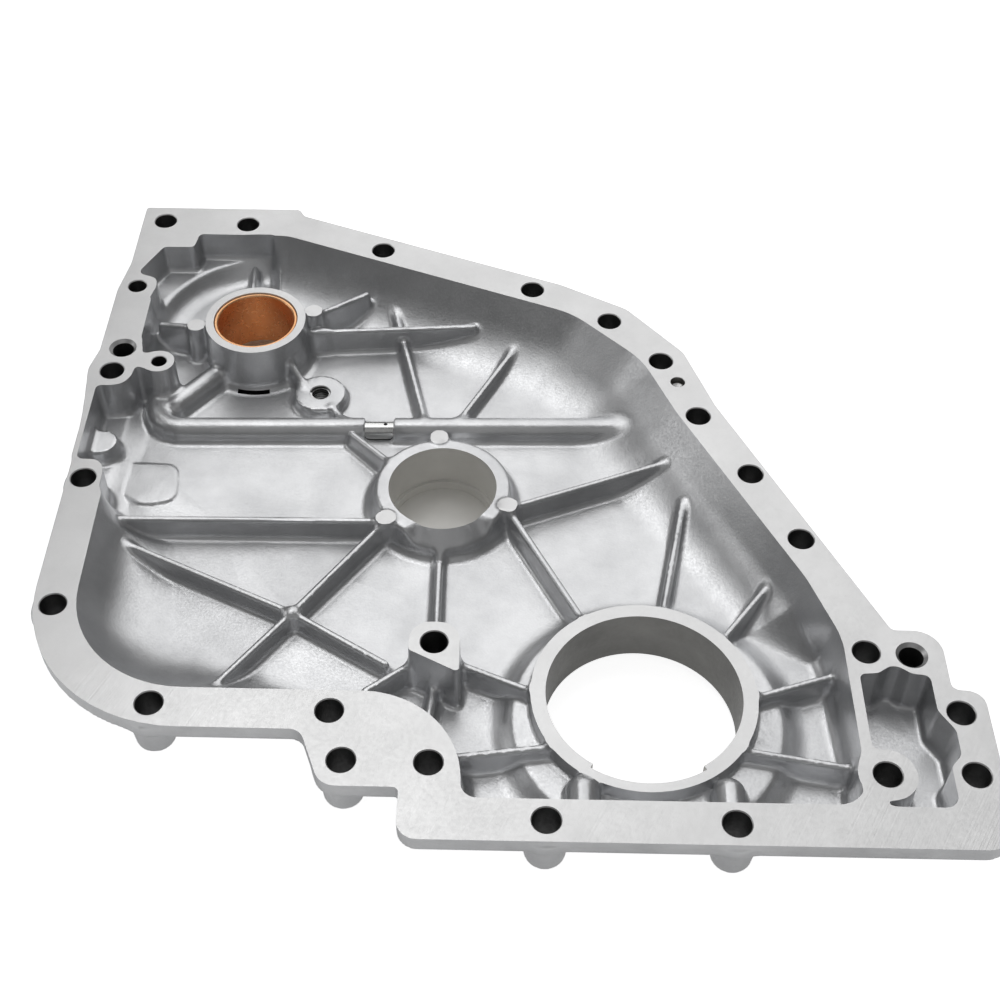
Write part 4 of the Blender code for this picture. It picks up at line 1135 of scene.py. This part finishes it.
@dataclass
class CoverCasting:
    """The casting with its flange, dished cavity, ribs, rings and columns."""

    pitch: float = 1.0
    face_budget: int = 150000
    rib_fillet: float = 2.6
    boss_fillet: float = 3.0
    wall_fillet: float = 3.5

    def grow(self) -> ShapeField:
        """Distance field of the raw casting.

        Returns:
            The field, with stock left on its machined faces.
        """
        field = ShapeField(GRID_LOW, GRID_HIGH, self.pitch)
        whole = (slice(0, len(field.x)), slice(0, len(field.y)))
        x, y = field.plan(whole)
        flange, _, _ = outline_distance(rounded_path(FLANGE_OUTLINE), x, y)
        wall, foot, lean = outline_distance(rounded_path(CAVITY_OUTLINE), x, y)
        run = wall[:, :, None] + lean[:, :, None] * (COVER_HEIGHT - field.z)
        side = run / np.hypot(1.0, lean)[:, :, None]
        cavity = corner_round(side, np.broadcast_to(FLOOR_HEIGHT - field.z, side.shape), foot[:, :, None])
        field.value = field.sink(flange, FLANGE_BOTTOM, 0.0, FLANGE_EDGE)
        field.value = fillet_union(field.value, cavity - FLOOR_WALL, self.wall_fillet)
        core = cavity
        for outline, bottom, brow in BAYS:
            path = rounded_path(outline)
            part = field.window([(row[0], row[1]) for row in path], 12.0)
            distance, _, _ = outline_distance(path, *field.plan(part))
            back = field.sink(distance - BAY_WALL, bottom - FLOOR_WALL, 0.0, BAY_BACK_EDGE)
            field.join(part, back, BAY_BACK_EDGE)
            core[part] = fillet_union(core[part], field.sink(distance, bottom, BAY_DRAFT, BAY_FOOT), brow)
        self.add_outer_bosses(field)
        outer = np.maximum(field.value, field.z - (COVER_HEIGHT + STOCK))
        field.value = np.maximum(outer, -core)
        self.add_rounds(field, RINGS)
        self.add_rounds(field, COLUMNS)
        self.add_uprights(field)
        self.add_rail(field)
        self.add_ribs(field)
        self.add_rounds(field, (RoundForm(RIB_CROSS, 2.6, 3.4, height(14.7), 1.2, 2.0),))
        self.cut_scoop(field)
        field.value = np.maximum(field.value, outer)
        return field

    def add_outer_bosses(self, field: ShapeField) -> None:
        """Adds the bosses of the bolts, the dowels, the column and the bores on the back."""
        for boss in OUTER_BOSSES:
            part = field.window([boss.place], boss.radius + 14.0)
            x, y = field.plan(part)
            distance = np.hypot(x - boss.place[0], y - boss.place[1]) - boss.radius
            form = np.maximum(field.sink(distance, boss.bottom, boss.draft, boss.edge), field.z - boss.top)
            field.join(part, form, self.boss_fillet)

    def add_rounds(self, field: ShapeField, forms: Sequence[RoundForm]) -> None:
        """Adds round forms that stand on the cavity's floor."""
        for round_form in forms:
            place = round_form.place
            part = field.window([place], round_form.foot + round_form.fillet + 4.0)
            x, y = field.plan(part)
            draft = (round_form.foot - round_form.crown) / (round_form.top - FLOOR_HEIGHT + FORM_ROOT)
            distance = np.hypot(x - place[0], y - place[1]) - round_form.crown
            field.join(part, field.rise(distance, round_form.top, draft, round_form.edge), round_form.fillet)

    def add_uprights(self, field: ShapeField) -> None:
        """Adds the pads, the column and the corner web, which stand on outlines."""
        for outline, top, edge, fillet in UPRIGHTS:
            path = rounded_path(outline)
            part = field.window([(row[0], row[1]) for row in path], 9.0)
            distance, _, _ = outline_distance(path, *field.plan(part))
            field.join(part, field.rise(distance, top, 0.03, edge), fillet)

    def bar(
        self, field: ShapeField, path: Sequence[Place], radius: float, top: float
    ) -> tuple[tuple[slice, slice], np.ndarray]:
        """Round-topped bar along plan places.

        Args:
            field: Field that it is for.
            path: Places on its axis.
            radius: Radius of its top.
            top: Height of its crest.

        Returns:
            The part of the grid that it takes, and its form.
        """
        part = field.window(path, radius + 8.0)
        x, y = field.plan(part)
        runs = [segment_distance(start, end, x, y)[0] for start, end in zip(path, path[1:])]
        rise = np.maximum(field.z - (top - radius), 0.0)
        return part, np.hypot(np.minimum.reduce(runs)[:, :, None], rise) - radius

    def add_rail(self, field: ShapeField) -> None:
        """Adds the oil rail in its two lengths, the duct from the bush, and the bosses by the seal."""
        left = RAIL_BEND + (rail_place(RAIL_GAP[0]),)
        right = (rail_place(RAIL_GAP[1]), rail_place(RAIL_END))
        for path, gap, way in ((left, RAIL_GAP[0], 1.0), (right, RAIL_GAP[1], -1.0)):
            part, form = self.bar(field, path, RAIL_RADIUS, RAIL_TOP)
            x, _ = field.plan(part)
            beyond = ((x - gap) * way)[:, :, None]
            field.join(part, corner_round(form, np.broadcast_to(beyond, form.shape), 0.6), self.boss_fillet)
        field.join(*self.bar(field, DUCT, DUCT_RADIUS, DUCT_TOP), self.boss_fillet)
        for x in SEAL_BOSS_PLACES:
            path = [(x, y) for y in SEAL_BOSS_ENDS]
            field.join(*self.bar(field, path, SEAL_BOSS_RADIUS, SEAL_BOSS_TOP), SEAL_BOSS_FILLET)

    def add_ribs(self, field: ShapeField) -> None:
        """Adds the ribs, whose tops run between two heights."""
        for start, end, first, last in RIBS:
            part = field.window([start, end], 9.0)
            distance, share = segment_distance(start, end, *field.plan(part))
            top = height(first) + (first - last) * share
            field.join(part, field.rise(distance - RIB_HALF_WIDTH, top, RIB_DRAFT, 1.3), self.rib_fillet)

    def cut_scoop(self, field: ShapeField) -> None:
        """Slopes the near side of the middle ring from its bore to its foot."""
        centre = Station.MIDDLE.value
        part = field.window([centre], 48.0)
        x, y = field.plan(part)
        radius = np.hypot(x - centre[0], y - centre[1])
        degrees = np.degrees(np.arctan2(y - centre[1], x - centre[0])) % 360.0
        share = np.clip((degrees - SCOOP_START) / SCOOP_SWEEP, 0.0, 1.0)
        fall = np.clip(1.5 * np.sin(math.pi * share), 0.0, 1.0)
        fall = fall * fall * (3.0 - 2.0 * fall)
        run = np.clip((radius - SCOOP_INNER) / SCOOP_RUN, 0.0, 0.85)
        slope = SCOOP_TOP - fall * (SCOOP_LIP + SCOOP_DROP * run)
        slope = slope + np.maximum(radius - SCOOP_OUTER, 0.0) * 2.0
        form = (field.z - slope[:, :, None]) * 0.87
        cut = np.maximum(field.value[part], form)
        soft = corner_round(field.value[part], form, 1.2)
        field.value[part] = np.where(form > -6.0, soft, cut)

    def cutter_sets(self, slots: Sequence[bpy.types.Material]) -> list[bpy.types.Object]:
        """Cutters for the faces, bores and holes, in the order of machining.

        Args:
            slots: The casting's materials, in order.

        Returns:
            The cutter objects. The cutters within each don't touch.
        """
        facing = CutterSet("facing")
        facing.plate(np.array(STOCK_SQUARE), COVER_HEIGHT, CUT_HIGH, Surface.MILLED)
        spot = CutterSet("spot_facing")
        spot.upright(SPOT_FACES)
        bores = CutterSet("bores")
        bores.upright(BORES)
        steps = CutterSet("steps")
        steps.upright(BORE_STEPS + HOLE_MOUTHS)
        recesses = CutterSet("recesses")
        self.add_recesses(recesses)
        bolts = DrillPattern(BOLT_DIAMETER, CUT_LOW, CUT_HIGH).cutters(
            "bolt_holes", FLANGE_BOLTS + (Station.COLUMN.value,), slots
        )
        made = [cutters.object(slots) for cutters in (facing, spot, bores)]
        made.append(bolts)
        made += [cutters.object(slots) for cutters in (steps, recesses)]
        return made

    def add_recesses(self, recesses: CutterSet) -> None:
        """Adds the notch, the rail's tube seats and the drain slot."""
        half = math.asin(NOTCH_WIDTH / 2 / NOTCH_RADIUS)
        spots = np.linspace(-math.pi / 2 - half, -math.pi / 2 + half, 40)
        arc = [(NOTCH_RADIUS * math.cos(spot), NOTCH_RADIUS * math.sin(spot)) for spot in spots]
        recesses.plate(np.array(arc + [Station.CRANK.value]), *NOTCH_HEIGHTS, Surface.TURNED)
        seat = (rail_place(TUBE_ENDS[0] - FIT_GAP), rail_place(TUBE_ENDS[1] + FIT_GAP))
        recesses.lying(*seat, TUBE_HEIGHT, TUBE_RADIUS + FIT_GAP, Surface.DRILLED)
        near, far = DRAIN_RADII
        first, last = DRAIN_SWEEP
        slot = [Station.DRIVE.at(near, degrees) for degrees in np.linspace(first, last, 13)]
        slot += [Station.DRIVE.at(far, degrees) for degrees in np.linspace(last - 2.0, first + 2.0, 13)]
        recesses.plate(np.array(slot), *DRAIN_HEIGHTS, Surface.DRILLED)

    def build(self) -> bpy.types.Object:
        """The machined casting.

        Returns:
            The casting, with each kind of surface in its slot.
        """
        slots = [finish.material() for finish in CASTING_FINISHES]
        points, faces = self.grow().skin()
        LOG.info("raw casting: %d faces", len(faces))
        mesh = mesh_from_faces("raw_casting", to_world(points), faces)
        add_slots(mesh, slots)
        raw = link("raw_casting", mesh)
        thin = raw.modifiers.new("thin", "DECIMATE")
        thin.ratio = min(1.0, self.face_budget / (2.0 * len(faces)))
        casting = machine(raw, self.cutter_sets(slots), "cover_casting_skin")
        smooth(casting.data, 38.0)
        return casting


@dataclass
class DriveBush:
    """Bronze bush, pressed into the bore of the drive."""

    inner: float = 18.4
    wall: float = 1.6
    top: float = 41.4
    length: float = 29.0
    chamfer: float = 0.8
    steps: int = 144

    def build(self) -> bpy.types.Object:
        """The bush, turned from one profile.

        Returns:
            A closed ring with chamfered ends.
        """
        outer = self.inner + self.wall
        low = self.top - self.length
        profile = (
            (outer - 0.35, self.top), (outer, self.top - 0.35), (outer, low + self.chamfer),
            (outer - self.chamfer, low), (self.inner + 0.3, low), (self.inner, low + 0.3),
            (self.inner, self.top - 0.5), (self.inner + 0.5, self.top),
        )
        centre = Station.DRIVE.value
        angles = np.linspace(0.0, math.tau, self.steps, endpoint=False)
        points = [
            (centre[0] + radius * math.cos(angle), centre[1] + radius * math.sin(angle), z)
            for angle in angles for radius, z in profile
        ]
        count = len(profile)
        faces = []
        for step in range(self.steps):
            after = (step + 1) % self.steps
            here, there = step * count, after * count
            for index in range(count):
                beside = (index + 1) % count
                faces.append((here + index, here + beside, there + beside, there + index))
        mesh = mesh_from_faces("drive_bush_skin", to_world(np.array(points)), np.array(faces))
        mesh.materials.append(BRONZE.material())
        smooth(mesh, 30.0)
        return link("drive_bush_skin", mesh)


@dataclass
class OilTube:
    """Steel tube across the gap in the oil rail, with a small spray notch."""

    notch_x: float = -113.9
    notch_radius: float = 0.9

    def build(self) -> bpy.types.Object:
        """The tube.

        Returns:
            A closed bar with a notch cut in its top.
        """
        # The notch's walls take the second slot, the near-black drilled material, which is painted shade for
        # the inside of the notch.
        slots = [STEEL.material(), DRILLED_PAINTED_SHADE.material()]
        tube = CutterSet("oil_tube_raw")
        tube.lying(rail_place(TUBE_ENDS[0]), rail_place(TUBE_ENDS[1]), TUBE_HEIGHT, TUBE_RADIUS, Surface.CAST)
        notch = CutterSet("spray_notch")
        place = rail_place(self.notch_x)
        notch.upright(
            [RoundCut(place, self.notch_radius, Surface.MILLED, TUBE_HEIGHT + 1.0, TUBE_HEIGHT + 10.0, 24)]
        )
        plain = machine(tube.object(slots), [notch.object(slots)], "oil_tube_skin")
        smooth(plain.data, 35.0)
        return plain


@dataclass(frozen=True)
class TappedThread:
    """Thread in the tapped boss: one helix made by Geometry Nodes."""

    radius: float = 4.55
    depth: float = 0.75
    turns: float = 5.5
    pitch: float = 1.5

    def build(self) -> bpy.types.Object:
        """The thread's ridge.

        Returns:
            A closed helix of triangular section.
        """
        inputs = {
            "Radius": "Float", "Ridge": "Float", "Turns": "Float", "Rise": "Float", "Centre": "Vector",
            "Material": "Material",
        }
        tree, source, result, names = node_group(
            "thread_helix", "GeometryNodeTree", inputs, {"Thread": "Geometry"}
        )
        helix = tree.nodes.new("GeometryNodeCurveSpiral")
        helix.inputs["Resolution"].default_value = 36
        section = tree.nodes.new("GeometryNodeCurvePrimitiveCircle")
        section.inputs["Resolution"].default_value = 3
        sweep = tree.nodes.new("GeometryNodeCurveToMesh")
        sweep.inputs["Fill Caps"].default_value = True
        place = tree.nodes.new("GeometryNodeTransform")
        wire(tree, (
            (source, "Radius", helix, "Start Radius"), (source, "Radius", helix, "End Radius"),
            (source, "Turns", helix, "Rotations"), (source, "Rise", helix, "Height"),
            (source, "Ridge", section, "Radius"), (helix, "Curve", sweep, "Curve"),
            (section, "Curve", sweep, "Profile Curve"), (sweep, "Mesh", place, "Geometry"),
            (source, "Centre", place, "Translation"),
        ))
        end_geometry(tree, place.outputs["Geometry"], source, result)
        rise = self.turns * self.pitch
        values = {
            "Radius": self.radius * MM, "Ridge": self.depth / 1.5 * MM, "Turns": self.turns,
            "Rise": rise * MM, "Material": MILLED_FACE.material(),
            "Centre": tuple(world_place(*Station.THREAD.value, THREAD_TOP - 0.4 - rise)),
        }
        obj = link("thread_helix", bpy.data.meshes.new("thread_helix"))
        add_geometry(obj, tree, names, values)
        thread = bake(obj, "tapped_thread")
        work = bmesh.new()
        work.from_mesh(thread.data)
        bmesh.ops.remove_doubles(work, verts=work.verts, dist=0.000001)
        work.normal_update()
        bmesh.ops.recalc_face_normals(work, faces=work.faces)
        work.to_mesh(thread.data)
        work.free()
        smooth(thread.data, 30.0)
        return thread


LIGHTS = (
    ("key", (0.15, 0.95, 1.15), 1.6, 8.6),
    ("top", (-0.35, 0.3, 1.4), 0.8, 2.0),
    ("left", (-1.4, 0.3, 0.8), 0.7, 1.4),
    ("front", (0.1, -0.9, 1.2), 1.2, 0.8),
)
FLOOR_DROP = 0.0002


@dataclass
class Studio:
    """Pale floor, soft light, and the camera at the photograph's angle."""

    lens: float = 56.0
    place: tuple[float, float, float] = (0.00155, -0.47800, 0.53920)
    tilt: float = 0.8245161
    roll: float = 0.0196185

    def build(self) -> None:
        """Makes the floor, the lights, the world and the camera."""
        self.build_floor()
        self.build_world()
        for light in LIGHTS:
            self.add_light(*light)
        self.build_camera()

    def build_floor(self) -> None:
        """Makes the pale floor, which looks white to the camera and keeps a soft shadow."""
        material = bpy.data.materials.new("studio_floor")
        material.use_nodes = True
        nodes, links = material.node_tree.nodes, material.node_tree.links
        shader = nodes["Principled BSDF"]
        shader.inputs["Base Color"].default_value = (0.8, 0.8, 0.8, 1.0)
        shader.inputs["Roughness"].default_value = 0.9
        path = nodes.new("ShaderNodeLightPath")
        seen = math_node(material.node_tree, "MULTIPLY", path.outputs["Is Camera Ray"], 0.88)
        mirrored = math_node(material.node_tree, "MULTIPLY", path.outputs["Is Glossy Ray"], 0.3)
        glow = math_node(material.node_tree, "ADD", seen.outputs[0], mirrored.outputs[0])
        shader.inputs["Emission Color"].default_value = (1.0, 1.0, 1.0, 1.0)
        links.new(glow.outputs[0], shader.inputs["Emission Strength"])
        work = bmesh.new()
        spot = Matrix.Translation((0.0, 0.0, -FLOOR_DROP))
        bmesh.ops.create_grid(work, x_segments=1, y_segments=1, size=6.0, matrix=spot)
        mesh = bpy.data.meshes.new("studio_floor")
        work.to_mesh(mesh)
        work.free()
        mesh.materials.append(material)
        link("studio_floor", mesh)

    def build_world(self) -> None:
        """Makes the even grey light that fills the studio."""
        world = bpy.data.worlds.new("studio_world")
        bpy.context.scene.world = world
        world.use_nodes = True
        background = world.node_tree.nodes["Background"]
        background.inputs["Color"].default_value = (1.0, 1.0, 1.0, 1.0)
        background.inputs["Strength"].default_value = 0.13

    def add_light(self, name: str, place: tuple[float, float, float], size: float, power: float) -> None:
        """Adds a square soft light that faces the cover.

        Args:
            name: Name of the light.
            place: Where it stands.
            size: Its side.
            power: Its power in watts.
        """
        data = bpy.data.lights.new(name, "AREA")
        data.shape = "SQUARE"
        data.size = size
        data.energy = power
        light = bpy.data.objects.new(name, data)
        light.location = place
        light.rotation_euler = (-Vector(place)).to_track_quat("-Z", "Y").to_euler()
        bpy.context.scene.collection.objects.link(light)

    def build_camera(self) -> None:
        """Makes the camera."""
        data = bpy.data.cameras.new("camera")
        data.lens = self.lens
        data.sensor_width = 36.0
        data.clip_start = 0.01
        camera = bpy.data.objects.new("camera", data)
        sin_r, cos_r = math.sin(self.roll), math.cos(self.roll)
        sin_a, cos_a = math.sin(self.tilt), math.cos(self.tilt)
        turn = Matrix(
            (
                (cos_r, -sin_r, 0.0, 0.0),
                (sin_r * sin_a, cos_r * sin_a, -cos_a, 0.0),
                (sin_r * cos_a, cos_r * cos_a, sin_a, 0.0),
                (0.0, 0.0, 0.0, 1.0),
            )
        )
        camera.matrix_world = Matrix.Translation(self.place) @ turn
        bpy.context.scene.collection.objects.link(camera)
        bpy.context.scene.camera = camera


def main() -> None:
    """Builds each piece, dresses it and sets up the studio."""
    logging.basicConfig(level=logging.INFO, format="%(message)s")
    pieces = (
        (CoverCasting(), "cover_casting", "cast_aluminium"),
        (DriveBush(), "drive_bush", "bronze"),
        (OilTube(), "oil_tube", "steel"),
    )
    for maker, node, slot in pieces:
        piece = maker.build()
        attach(piece, "root")
        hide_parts(node)
        LOG.info("%s: %d faces", piece.name, len(piece.data.polygons))
    thread = TappedThread().build()
    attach(thread, "root")
    LOG.info("%s: %d faces", thread.name, len(thread.data.polygons))
    Studio().build()
    bpy.context.scene.view_settings.view_transform = "Standard"


if __name__ == "__main__":
    main()
